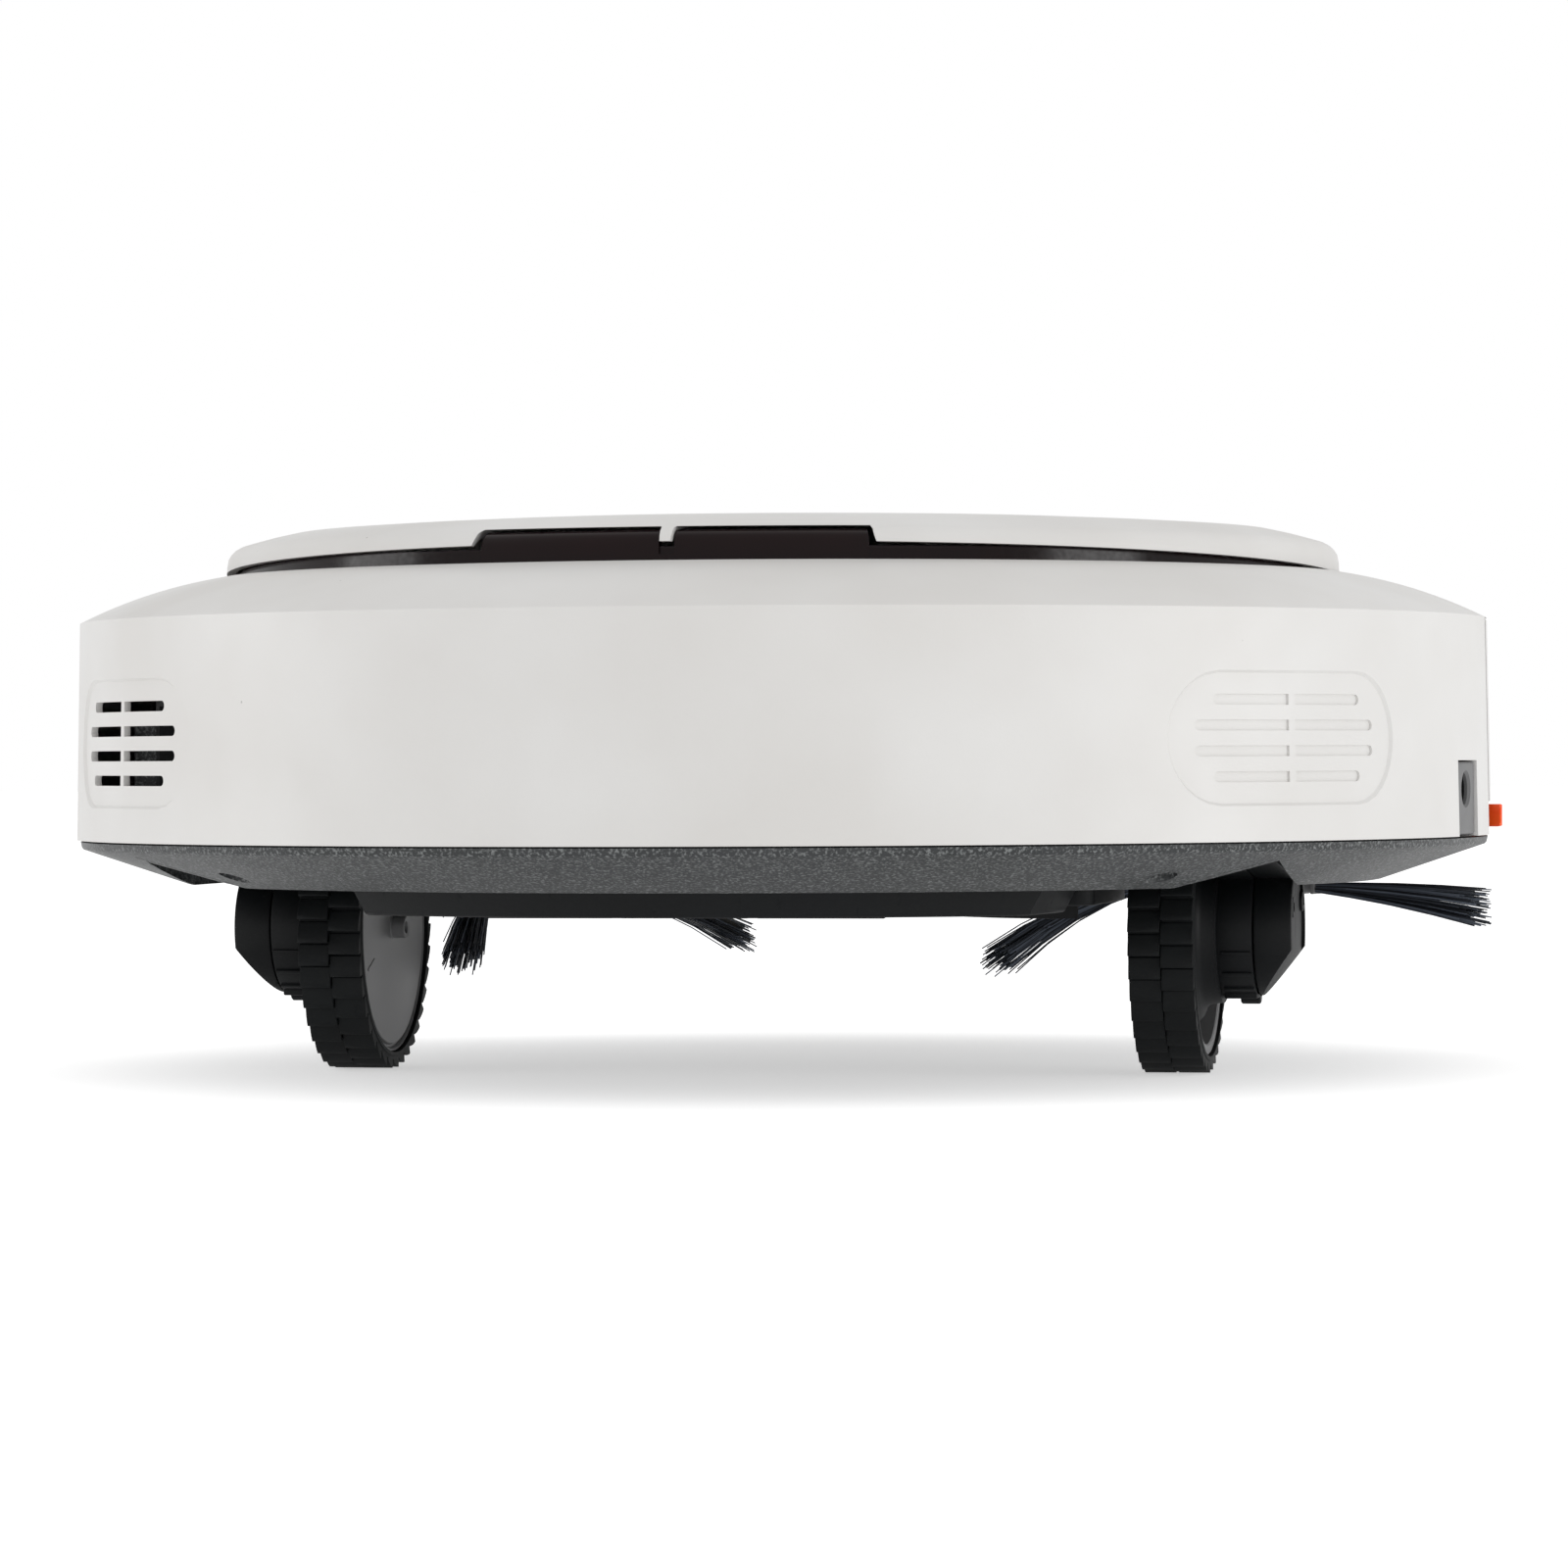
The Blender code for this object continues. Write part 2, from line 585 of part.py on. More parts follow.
def smoked_skirt():
    """The smoked plastic under the lid's rear edge, standing forward in its window."""
    ring = [(125.7, 58.6), (127.7, 58.6), (127.3, 63.6), (125.7, 63.6)]
    skirt = piece("smoked_skirt", turned(ring, 38, -185, 190), "smoked_plastic",
                  (0, HINGE_Y, HINGE_Z))
    half = WINDOW_HIGH_HALF_DEG - 0.5
    insert = [(126, 59), (128.3, 59), (128.0, 64.4), (126.9, 66.2), (125.2, 67.2), (123.5, 67.4),
              (123.5, 65.2), (126, 63)]
    unite(skirt, turned(insert, 8, -90 - half, 2 * half))
    cut(skirt, box((-TAB_HALF - GAP, -131, 62), (TAB_HALF + GAP, -120, 70)))
    return skirt


def start_button():
    outline = [(0, 69.2), (BUTTON_R + 1.4, 69.2), (BUTTON_R + 1.4, 70.3), (BUTTON_R, 70.3),
               (BUTTON_R, 72.8), (BUTTON_R - 0.6, 73.3), (0, 73.3)]
    bm = moved(turned(outline, 32), 0, BUTTON_Y, 0)
    piece("start_button", bm, "grey_plastic", (0, BUTTON_Y, 73.3))


def lid_hinge_pin():
    bm = rod(1.3, -13.4, 13.4, "X", (HINGE_Y, HINGE_Z), 12)
    piece("lid_hinge_pin", bm, "steel", (0, HINGE_Y, HINGE_Z))


# ---------------------------------------------------------------- sockets, switch, underside

def dc_socket():
    block = piece("dc_socket", socket_block(0, BODY_R - 0.9, 12), "grey_plastic")
    hole = rod(SOCKET_HOLE_R, -BODY_R - 2, -BODY_R + 9, "Y", (0, SOCKET_HOLE_Z), 24)
    cut(block, turned_about(hole, radians(SOCKET_AZIMUTH_DEG), "Z"))


def power_switch():
    """A rocker that tips about an upright axis in the notch at the bumper's lower corner."""
    x0, x1 = SWITCH_PIVOT_X - 2, 166.5
    y, half = SWITCH_Y, 3.7
    outline = [(x0, y - 1.6), (x1, y - half), (x1 - 1.2, y), (x1, y + half), (x0, y + 1.6)]
    bm = extruded(outline, SWITCH_Z - 2.6, SWITCH_Z + 2.6)
    piece("power_switch", bm, "orange_plastic", (SWITCH_PIVOT_X, SWITCH_Y, SWITCH_Z))


def rear_under_plate():
    """The smooth plate under the rear, with drafted and rounded sides."""
    radius, half = 127.5, 37.0
    rear = [heading(-half + 2 * half * k / 12, radius) for k in range(13)]
    front = [(80, -72), (78, -66.5), (-78, -66.5), (-80, -72)]
    bm = extruded(rear + front, -16.0, BOTTOM_Z - GAP)
    low = [v for v in bm.verts if v.co.z < -15]
    cx, cy = 0, -90
    for v in low:
        inward = Vector((cx - v.co.x, cy - v.co.y, 0)).normalized()
        v.co += inward * 2.4
    edges = [e for e in bm.edges if all(v.co.z < -15 for v in e.verts)]
    bmesh.ops.bevel(bm, geom=edges, offset=1.2, segments=2, profile=0.5, affect="EDGES", material=-1)
    piece("rear_under_plate", bm, "dark_plastic")


def brush_guard():
    """The frame round the suction mouth."""
    top, low = BOTTOM_Z - GAP, -14.8
    bm = extruded(rounded_outline(-82.5, 82.5, -65, -10, 4), low, top)
    guard = piece("brush_guard", bm, "dark_plastic")
    cut(guard, extruded(rounded_outline(-77, 77, -58.5, -15.5, 3), low - 3, top + 3))


def battery():
    low, high = BATTERY
    piece("battery_pack", box(low, high, 1.5), "battery_wrap")
    bm = box((-DOOR_HALF, DOOR_Y[0], BOTTOM_Z), (DOOR_HALF, DOOR_Y[1], BOTTOM_Z + FLOOR_THICK), 0.4)
    piece("battery_door", bm, "dark_plastic")


def charge_contacts():
    for name, side in (("right", 1), ("left", -1)):
        low = (32 - 9, 123, BOTTOM_Z - GAP - 0.9)
        high = (32 + 9, 132, BOTTOM_Z - GAP)
        piece(f"charge_contact_{name}", mirrored(box(low, high, 0.3), side), "contact_metal")


def floor_sensors():
    for name, (azimuth, radius) in FLOOR_SENSORS.items():
        x, y = heading(azimuth, radius)
        bm = rod(SENSOR_R, -7.2, -2.5, centre=(x, y), segments=16, chamfer=0.4)
        piece(f"floor_sensor_{name}", bm, "smoked_plastic")


def case_screws():
    for name, side in (("right", 1), ("left", -1)):
        outline = [(0, -7.4), (2.6, -7.4), (3.0, -6.6), (3.0, -5.2), (1.4, -5.2), (1.4, 4.5), (0, 4.5)]
        x, y = heading(side * SCREW_AZIMUTH_DEG, SCREW_R)
        piece(f"case_screw_{name}", moved(turned(outline, 14), x, y, 0), "steel")


# ---------------------------------------------------------------- dust path

def dust_bin():
    """The bin: a tray with an intake in its front wall and a filter window on its left."""
    made = piece("dust_bin", extruded(bin_outline(0), BIN_LOW_Z, BIN_TOP_Z), "smoked_plastic")
    cut(made,
        extruded(bin_outline(-BIN_WALL), BIN_LOW_Z + BIN_WALL, BIN_TOP_Z + 5),
        box((-THROAT_HALF, BIN_FRONT_Y - 5, THROAT_Z[0]), (THROAT_HALF, BIN_FRONT_Y + 3, THROAT_Z[1])),
        box((BIN_LEFT_X - 3, FAN_Y - 18, 4), (BIN_LEFT_X + 4, FAN_Y + 18, 38)))
    low = (BIN_LEFT_X + BIN_WALL + GAP, FAN_Y - 22, 0)
    high = (BIN_LEFT_X + BIN_WALL + GAP + 6, FAN_Y + 22, 42)
    piece("bin_filter", box(low, high, 0.6), "filter_paper")


def bin_cover():
    """The bin's cover, with a grip to lift the bin out by."""
    top = DECK_Z + 1.6
    bm = extruded(bin_outline(0), BIN_TOP_Z + GAP, top)
    made = piece("bin_cover", bm, "dark_plastic")
    x = (BIN_LEFT_X + BIN_RIGHT_X) / 2
    grip = extruded([(x - 22, top - 1), (x - 18, top + 7), (x + 18, top + 7), (x + 22, top - 1)],
                    -97, -92, "Y")
    hole = extruded([(x - 17, top + 0.6), (x - 15, top + 4), (x + 15, top + 4), (x + 17, top + 0.6)],
                    -99, -90, "Y")
    unite(made, grip)
    cut(made, hole)


def fan_and_duct():
    """The blower beside the bin, and the duct from it to the exhaust slots on the left."""
    fan = piece("fan_housing", rod(FAN_R, -81.5, -36, "X", (FAN_Y, FAN_Z), 32, chamfer=2),
                "dark_plastic")
    cut(fan,
        rod(14, -44, -30, "X", (FAN_Y, FAN_Z), 24),
        box((-90, FAN_Y - 16, FAN_Z - 10), (-70, FAN_Y + 1, FAN_Z + 10)))
    z0, z1 = FAN_Z - DUCT_HALF_HEIGHT, FAN_Z + DUCT_HALF_HEIGHT
    near, far = -81.5 - GAP, -124.0
    bm = extruded([(far, -118), (near, -118), (near, -97), (far, -97)], z0, z1)
    duct = piece("exhaust_duct", bm, "dark_plastic")
    outside = [(157, z0 - 5), (200, z0 - 5), (200, z1 + 5), (157, z1 + 5)]
    cut(duct,
        box((far - 5, -116.4, z0 + 1.6), (near + 5, -98.6, z1 - 1.6)),
        turned(outside, 20, -170, 60))


def brush_unit():
    """The main brush with four twisted blades, its bearings and its motor."""
    steps = 6
    outline = []
    for blade in range(4):
        a = blade * 90
        for da, r in ((-7, 7.5), (-5, BRUSH_R), (5, BRUSH_R), (7, 7.5), (45, 8)):
            outline.append((r * cos(radians(a + da)), r * sin(radians(a + da))))
    bm = bmesh.new()
    face = bm.faces.new([bm.verts.new((-BRUSH_HALF, u, v)) for u, v in outline])
    stride = 2 * BRUSH_HALF / steps
    for step in range(steps):
        grown = bmesh.ops.extrude_face_region(bm, geom=[face])["geom"]
        if step:
            bmesh.ops.delete(bm, geom=[face], context="FACES_ONLY")
        face = next(g for g in grown if isinstance(g, bmesh.types.BMFace))
        bmesh.ops.translate(bm, verts=face.verts, vec=(stride, 0, 0))
        bmesh.ops.rotate(bm, verts=face.verts, cent=(0, 0, 0),
                         matrix=Matrix.Rotation(radians(15), 3, "X"))
    centre = (0, BRUSH_Y, BRUSH_Z)
    brush = piece("main_brush", moved(tidy(bm), *centre), "rubber", centre)
    unite(brush, rod(2.5, -BRUSH_HALF - 2.4, BRUSH_HALF + 2.4, "X", centre[1:], 12))
    for name, side in (("right", 1), ("left", -1)):
        low = (BRUSH_HALF + 0.5, BRUSH_Y - 8, BRUSH_Z - 8)
        high = (CHAMBER_HALF - GAP, BRUSH_Y + 8, BRUSH_Z + 14)
        bearing = piece(f"brush_bearing_{name}", mirrored(box(low, high, 0.4), side), "grey_plastic")
        cut(bearing, rod(2.8, -90, 90, "X", centre[1:], 12))
    bm = rod(11, -72, -22, "X", (3.5, 5), 20, chamfer=1.5)
    piece("brush_motor", bm, "steel")


def main_board():
    board = piece("main_board", box((-58, 24, 38), (58, 96, 39.6)), "circuit_board")
    unite(board,
          box((-14, 45, 39), (14, 73, 42)),
          box((-48, 30, 39), (-34, 60, 46)),
          box((30, 76, 39), (50, 90, 48)),
          box((26, 32, 39), (46, 44, 44)))


# ---------------------------------------------------------------- running gear

def side_brush(name, side):
    """Motor, hub and the three tufts of one side brush."""
    x, y = side * SIDE_BRUSH_X, SIDE_BRUSH_Y
    centre = (x, y, BOTTOM_Z)
    motor = box((x - 15, y - 12, -5.6), (x + 15, y + 12, 22), 2)
    piece(f"side_brush_motor_{name}", motor, "grey_plastic")
    outline = [(0, -16.6), (9, -16.6), (12, -15.2), (12, -11.4), (4, -11.2), (4, -6.4), (0, -6.4)]
    hub = piece(f"side_brush_hub_{name}", moved(turned(outline, 24), x, y, 0), "grey_plastic", centre)
    arms = [tuft(x, y, a, ((10, 3.2, -15.4, -12.2), (27, 2.4, -15.9, -13.0))) for a in TUFT_ANGLES[name]]
    unite(hub, *arms)
    core = rod(3.6, -18.4, -16.9, centre=(x, y), segments=12)
    bristles = piece(f"side_brush_bristles_{name}", core, "bristle", centre)
    reach = SIDE_BRUSH_REACH
    run = ((0, 1.6, -18.2, -17.1), (27, 1.8, -18.1, -16.3), (32, 2.4, -18.0, -13.0),
           (reach, 4.8, -18.6, -13.2))
    unite(bristles, *[tuft(x, y, a, run) for a in TUFT_ANGLES[name]])


def tuft(x, y, angle_deg, sections):
    """A straight arm from its sections: (distance out, half width, low, high)."""
    bm = lofted([[(d, w, low), (d, -w, low), (d, -w, high), (d, w, high)]
                 for d, w, low, high in sections])
    turned_about(bm, radians(angle_deg), "Z")
    return moved(bm, x, y, 0)


def arm_outline(shrink=0.0):
    """The gearbox from the side: a drum round the wheel axis, a high shoulder, a pivot boss."""
    drum = (AXLE_Y, -AXLE_DROP, DRUM_R - shrink)
    shoulder = (*SHOULDER, SHOULDER_R - shrink)
    boss = (PIVOT_Y, PIVOT_Z, PIVOT_BOSS_R - shrink)
    front = outer_tangent(drum, shoulder, -1)
    top = outer_tangent(shoulder, boss, -1)
    under = outer_tangent(shoulder, boss, 1)
    low = arc(*boss, under, under, 1)[0]
    way = Vector((-sin(radians(under)), cos(radians(under))))
    offset = Vector(low) - Vector(drum[:2])
    along = offset.dot(way)
    meet = -along - sqrt(along ** 2 - offset.length_squared + drum[2] ** 2)
    corner = offset + way * meet
    start = degrees(atan2(corner.y, corner.x))
    return (arc(*drum, start, 360 + front, 12) + arc(*shoulder, front, top, 2)
            + arc(*boss, top, under, 6))


def outer_tangent(a, b, way):
    """The normal's angle of the outer tangent of two (y, z, radius) circles, in degrees."""
    run = (b[0] - a[0], b[1] - a[1])
    lean = degrees(acos((a[2] - b[2]) / hypot(*run)))
    return degrees(atan2(run[1], run[0])) + way * lean


def drive_unit(name, side):
    """One drive wheel with its swinging gearbox, motor, pivot pin and spring.

    Under the drum the gearbox has a flat sole and the post of a screw.
    """
    pivot = (0, PIVOT_Y, PIVOT_Z)
    axle = (AXLE_Y, -AXLE_DROP)
    pin = (PIVOT_Y, PIVOT_Z)
    sole_z = -AXLE_DROP - DRUM_R - 0.4

    def made(node, bm, finish, origin=pivot):
        return piece(f"{node}_{name}", mirrored(bm, side), finish, origin)

    def tool(bm):
        return mirrored(bm, side)

    case = made("gearbox_case", extruded(arm_outline(), CASE_IN_X, CASE_SPLIT_X, "X"), "dark_plastic")
    unite(case,
          tool(rod(21, 99, CASE_IN_X + 1, "X", axle, 24)),
          tool(box((CASE_IN_X + 1, AXLE_Y - 5, sole_z), (CASE_SPLIT_X, AXLE_Y + 6, sole_z + 4))),
          tool(rod(2.2, CASE_SPLIT_X - 4.5, CASE_SPLIT_X, "X", (AXLE_Y + 3, sole_z + 0.7), 12)))
    cut(case,
        tool(rod(3.4, 90, 118, "X", axle, 16)),
        tool(rod(2.8, 112, 118, "X", pin, 16)),
        tool(rod(12.6, 109, 118, "X", axle, 16)))
    cover = made("gearbox_cover", extruded(arm_outline(0.2), CASE_SPLIT_X + GAP, COVER_OUT_X, "X"),
                 "dark_plastic")
    chamfer = [(COVER_OUT_X + 2, -22.6), (COVER_OUT_X - 11.4, -41), (COVER_OUT_X + 2, -41)]
    cut(cover,
        tool(extruded(chamfer, -60, 20, "Y")),
        tool(rod(2.8, 110, 130, "X", pin, 16)),
        tool(rod(3.4, 110, 119, "X", axle, 16)))
    made("drive_motor", rod(11.5, 86.2, CASE_IN_X - GAP, "X", pin, 18, chamfer=1), "steel")
    wheel_origin = (0, *axle)
    x0 = TYRE_IN_X + 0.8
    outline = [(0, x0 - 3.4), (2.6, x0 - 3.4), (2.6, x0), (27, x0), (27.8, x0 + 0.8),
               (29, x0 + 0.8), (29, TYRE_OUT_X - 1), (26.5, TYRE_OUT_X - 1), (26.5, x0 + 3.4),
               (6, x0 + 3.4), (6, x0 + 8.6), (3.3, x0 + 8.6), (3.3, x0 + 2), (0, x0 + 2)]
    hub = turned_about(turned(outline, 28), pi / 2, "Y")
    made("wheel_hub", moved(hub, 0, *axle), "grey_plastic", wheel_origin)
    tyre = [(29.3, TYRE_IN_X), (WHEEL_R, TYRE_IN_X), (WHEEL_R, TYRE_OUT_X), (29.3, TYRE_OUT_X)]
    made("tyre", moved(turned_about(turned(tyre, 48), pi / 2, "Y"), 0, *axle), "rubber", wheel_origin)
    shaft = [(0, x0 + 2 + GAP), (3.0, x0 + 2 + GAP), (3.0, 109.6), (11.8, 109.6), (11.8, 113.6),
             (3.0, 113.6), (3.0, 118.5), (0, 118.5)]
    made("wheel_axle", moved(turned_about(turned(shaft, 16), pi / 2, "Y"), 0, *axle), "steel",
         wheel_origin)
    made("pivot_pin", rod(2.5, 112.4, 128.8, "X", pin, 12), "steel")
    made("suspension_spring", rod(6.8, 123.9, 126.5, "X", pin, 20, bore=4.2), "steel")


def castor():
    """The front castor: a turning fork with its wheel and axle."""
    centre = (0, CASTOR_Y, 0)
    wheel_y = CASTOR_Y - CASTOR_TRAIL
    axle = (wheel_y, CASTOR_AXLE_Z)
    outline = [(0, -13), (CASTOR_FORK_R - 1.5, -13), (CASTOR_FORK_R, -11.5), (CASTOR_FORK_R, 8),
               (3.2, 8), (3.2, 19), (0, 19)]
    fork = piece("castor_fork", moved(turned(outline, 32), 0, CASTOR_Y, 0), "dark_plastic", centre)
    room = CASTOR_WHEEL_R + 0.7
    cut(fork,
        box((-7.2, wheel_y - room, -20), (7.2, wheel_y + room, CASTOR_AXLE_Z + room + 0.3)),
        rod(1.8, -12.5, 12.5, "X", axle, 12))
    origin = (0, *axle)
    wheel = rod(CASTOR_WHEEL_R, -6.6, 6.6, "X", axle, 28, bore=1.8, chamfer=1.2)
    piece("castor_wheel", wheel, "rubber", origin)
    piece("castor_axle", rod(1.5, -12, 12, "X", axle, 12), "steel", origin)


def build():
    for old in list(bpy.data.objects):
        bpy.data.objects.remove(old, do_unlink=True)
    base_shell()
    top_cover()
    front_bumper()
    ir_window()
    bumper_springs()
    lid()
    smoked_skirt()
    start_button()
    lid_hinge_pin()
    dc_socket()
    power_switch()
    rear_under_plate()
    brush_guard()
    battery()
    charge_contacts()
    floor_sensors()
    case_screws()
    dust_bin()
    bin_cover()
    fan_and_duct()
    brush_unit()
    main_board()
    castor()
    for name, side in (("right", 1), ("left", -1)):
        side_brush(name, side)
        drive_unit(name, side)


build()
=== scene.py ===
"""Robot vacuum cleaner: fine casing, treaded wheels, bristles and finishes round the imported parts.

Laid out as an add-on and run as a script. Shapes are worked out in millimetres with heights
measured from the lower edge of the white side wall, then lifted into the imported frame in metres.
+X is the robot's right and +Y its front.
"""

import json
from math import acos, asin, atan2, cos, degrees, hypot, pi, radians, sin, sqrt
from random import Random

import bmesh
import bpy
from mathutils import Matrix, Vector


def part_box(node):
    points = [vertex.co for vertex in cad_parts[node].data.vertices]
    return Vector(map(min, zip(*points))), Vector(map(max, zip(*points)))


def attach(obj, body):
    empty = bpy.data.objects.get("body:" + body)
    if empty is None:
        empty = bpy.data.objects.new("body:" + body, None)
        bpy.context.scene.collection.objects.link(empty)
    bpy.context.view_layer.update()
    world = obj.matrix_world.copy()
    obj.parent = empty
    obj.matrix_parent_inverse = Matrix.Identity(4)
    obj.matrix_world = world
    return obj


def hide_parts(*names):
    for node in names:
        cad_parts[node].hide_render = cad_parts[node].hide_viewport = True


bl_info = {
    "name": "Robot vacuum",
    "version": (1, 0, 0),
    "blender": (4, 5, 0),
    "location": "3D View > Sidebar > Vacuum",
    "description": "Builds the visible robot vacuum round its packed parts",
    "category": "Object",
}

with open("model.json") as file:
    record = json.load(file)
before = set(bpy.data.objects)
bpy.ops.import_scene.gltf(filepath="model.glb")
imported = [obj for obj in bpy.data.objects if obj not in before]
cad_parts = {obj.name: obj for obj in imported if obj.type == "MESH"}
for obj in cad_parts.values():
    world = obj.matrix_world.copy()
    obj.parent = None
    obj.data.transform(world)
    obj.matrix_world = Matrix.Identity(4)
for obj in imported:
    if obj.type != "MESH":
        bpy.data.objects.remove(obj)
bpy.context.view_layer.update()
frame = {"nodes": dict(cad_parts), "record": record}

MM = 0.001
TAU = 2 * pi
GAP = 0.3                      # between pieces that rest on each other
SHARP = radians(35)            # edges that turn by more are shaded sharp
SIDES = (("right", 1), ("left", -1))


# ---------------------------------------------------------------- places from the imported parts

def reach(node, axis):
    """A part's lowest and highest place along an axis, in millimetres."""
    low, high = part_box(node)
    return low[axis] / MM, high[axis] / MM


def middle(node, axis):
    """The middle of a part's box along an axis, in millimetres."""
    return sum(reach(node, axis)) / 2


LIFT = reach("front_bumper", 2)[0]             # the side wall's lower edge above the floor
BODY_R = -reach("top_cover", 1)[0]             # side wall at its lower edge
RIM_Z = 60.6                                   # top of the sloping ring, without the hinge lugs
WHEEL_Y = middle("tyre_right", 1)
WHEEL_Z = middle("tyre_right", 2) - LIFT
WHEEL_R = (reach("tyre_right", 2)[1] - reach("tyre_right", 2)[0]) / 2
TYRE_X = reach("tyre_right", 0)
PIVOT_Y = middle("pivot_pin_right", 1)
PIVOT_Z = middle("pivot_pin_right", 2) - LIFT
SPRING_X = reach("suspension_spring_right", 0)
CASE_X = (106.0, reach("gearbox_case_right", 0)[1])     # the arm, without its flange disc
COVER_X = reach("gearbox_cover_right", 0)
BRUSH_Y = middle("main_brush", 1)
BRUSH_Z = middle("main_brush", 2) - LIFT
BRUSH_HALF = 76.0
BRUSH_R = 19.4
SIDE_BRUSH_X = middle("side_brush_motor_right", 0)
SIDE_BRUSH_Y = middle("side_brush_motor_right", 1)
BOTTOM_Z = reach("battery_door", 2)[0] - LIFT  # flat bottom of the chassis
DECK_Z = 54.2
HINGE_Y = middle("lid_hinge_pin", 1)
HINGE_Z = middle("lid_hinge_pin", 2) - LIFT
BUTTON_Y = middle("start_button", 1)
CASTOR_Y = middle("castor_fork", 1)
CASTOR_AXLE = (middle("castor_wheel", 1), middle("castor_wheel", 2) - LIFT)
DOOR_X, DOOR_Y = reach("battery_door", 0), reach("battery_door", 1)

# Side wall, ring and chassis flank
BAND_TOP_R = 164.1
BAND_TOP_Z = 50.0
WALL = 2.2
RIM_R = 131.0
SLOPE_ROUND = 108.0                            # radius of the slope's gentle crown
BOTTOM_R = 139.3
SEAM_DEG = degrees(asin(2.5 / BODY_R))         # open seam between the rear wall and the bumper

# Vents in the side wall
VENT_DEG = 52.85
VENT_Z = 22.1
VENT_HALF = (34.8, 13.9)
VENT_DEEP = 0.7
SLOT_PITCH = 5.5
SLOT_HALF_HEIGHT = 1.15
SLOT_REACH = (22.8, 27.8, 27.8, 22.8)
RIB_HALF = 1.0

# Charging socket
SOCKET_DEG = 80.5
SOCKET_HALF = 8.2
SOCKET_Z = (0.3, 16.8)
SOCKET_HOLE_R = 3.7
SOCKET_HOLE_Z = 10.6

# Lid
LID_EDGE_Z = 60.4
LID_TILT = 0.033                               # rise of the lid's lower edge towards the rear
HINGE_EYE_R = 2.9
TAB_HALF = 1.4
WINDOW_DEG = (21.1, 19.8)
WINDOW_TOP_Z = 68.0
BUTTON_R = 9.0

# Wheel wells, high over the wheel and low over the gearbox's arm, on the right side
WELL_X = (85.0, 127.0)
WELL_Y = (-60.0, 22.0)
WELL_TOP_Z = 49.2
WELL_BACK_Y = -93.0
WELL_LOW_TOP_Z = 24.0

# Drive gearboxes, right side
DRUM_R = 15.5
SHOULDER = (-24.0, -3.5, 7.0)                  # the arm's shoulder over the drum: y, z, radius
PIVOT_BOSS_R = 9.0
AXLE_HOLE_R = 3.4
PIN_HOLE_R = 2.8

# Screws under the rear, and the tufts of the side brushes
SCREW_DEG = 44.5
SCREW_R = 147.0
PLATE_SCREW = (62.0, -80.0)
DOOR_SCREW_X = 30.0
TWIST_DEG = 90.0                               # of the main brush's blades and tufts
TUFTS = {"right": (-13.8, 106.2, -133.8), "left": (36.2, 156.2, -83.8)}
DROOPS = {"right": ((4.0, 4.4), (13.0, 3.0), (15.0, 3.0)),
          "left": ((13.0, 3.0), (15.0, 3.0), (15.0, 3.2))}


# ---------------------------------------------------------------- finishes

def to_linear(code):
    """An sRGB hex colour as linear RGBA."""
    values = [int(code[k:k + 2], 16) / 255 for k in (0, 2, 4)]
    return [v / 12.92 if v <= 0.04045 else ((v + 0.055) / 1.055) ** 2.4 for v in values] + [1.0]


def add(tree, kind, inputs, **settings):
    """Adds a node with its settings, and links or sets its inputs."""
    made = tree.nodes.new("ShaderNode" + kind)
    for key, value in settings.items():
        setattr(made, key, value)
    for key, value in inputs.items():
        if isinstance(value, bpy.types.NodeSocket):
            tree.links.new(value, made.inputs[key])
        else:
            made.inputs[key].default_value = value
    return made


def started(name, **values):
    """A new material with its tree, its shader with fixed values set, and object coordinates."""
    made = bpy.data.materials.new(name)
    made.use_nodes = True
    tree = made.node_tree
    shader = tree.nodes["Principled BSDF"]
    for key, value in values.items():
        shader.inputs[key.replace("_", " ")].default_value = value
    return made, tree, shader, add(tree, "TexCoord", {}).outputs["Object"]


def span(tree, value, low, high, to_low, to_high):
    """A value mapped from one range to another, held at its ends."""
    return add(tree, "MapRange", {"Value": value, "From Min": low, "From Max": high,
                                  "To Min": to_low, "To Max": to_high}).outputs["Result"]


def noise(tree, place, size_mm, detail=2.0):
    """Noise with features of about this size."""
    made = add(tree, "TexNoise", {"Vector": place, "Scale": 1 / (size_mm * MM), "Detail": detail})
    return made.outputs["Fac"]


def blend(tree, share, first, second):
    """A mix of two colours, each a hex code or a socket."""
    first, second = (to_linear(c) if isinstance(c, str) else c for c in (first, second))
    return add(tree, "Mix", {0: share, 6: first, 7: second}, data_type="RGBA").outputs[2]


def dressed(shader, colour, rough, height, relief_mm):
    """Links a colour, a roughness and a relief to a shader."""
    tree = shader.id_data
    bump = add(tree, "Bump", {"Height": height, "Distance": relief_mm * MM})
    for socket, name in ((colour, "Base Color"), (rough, "Roughness"),
                         (bump.outputs["Normal"], "Normal")):
        tree.links.new(socket, shader.inputs[name])


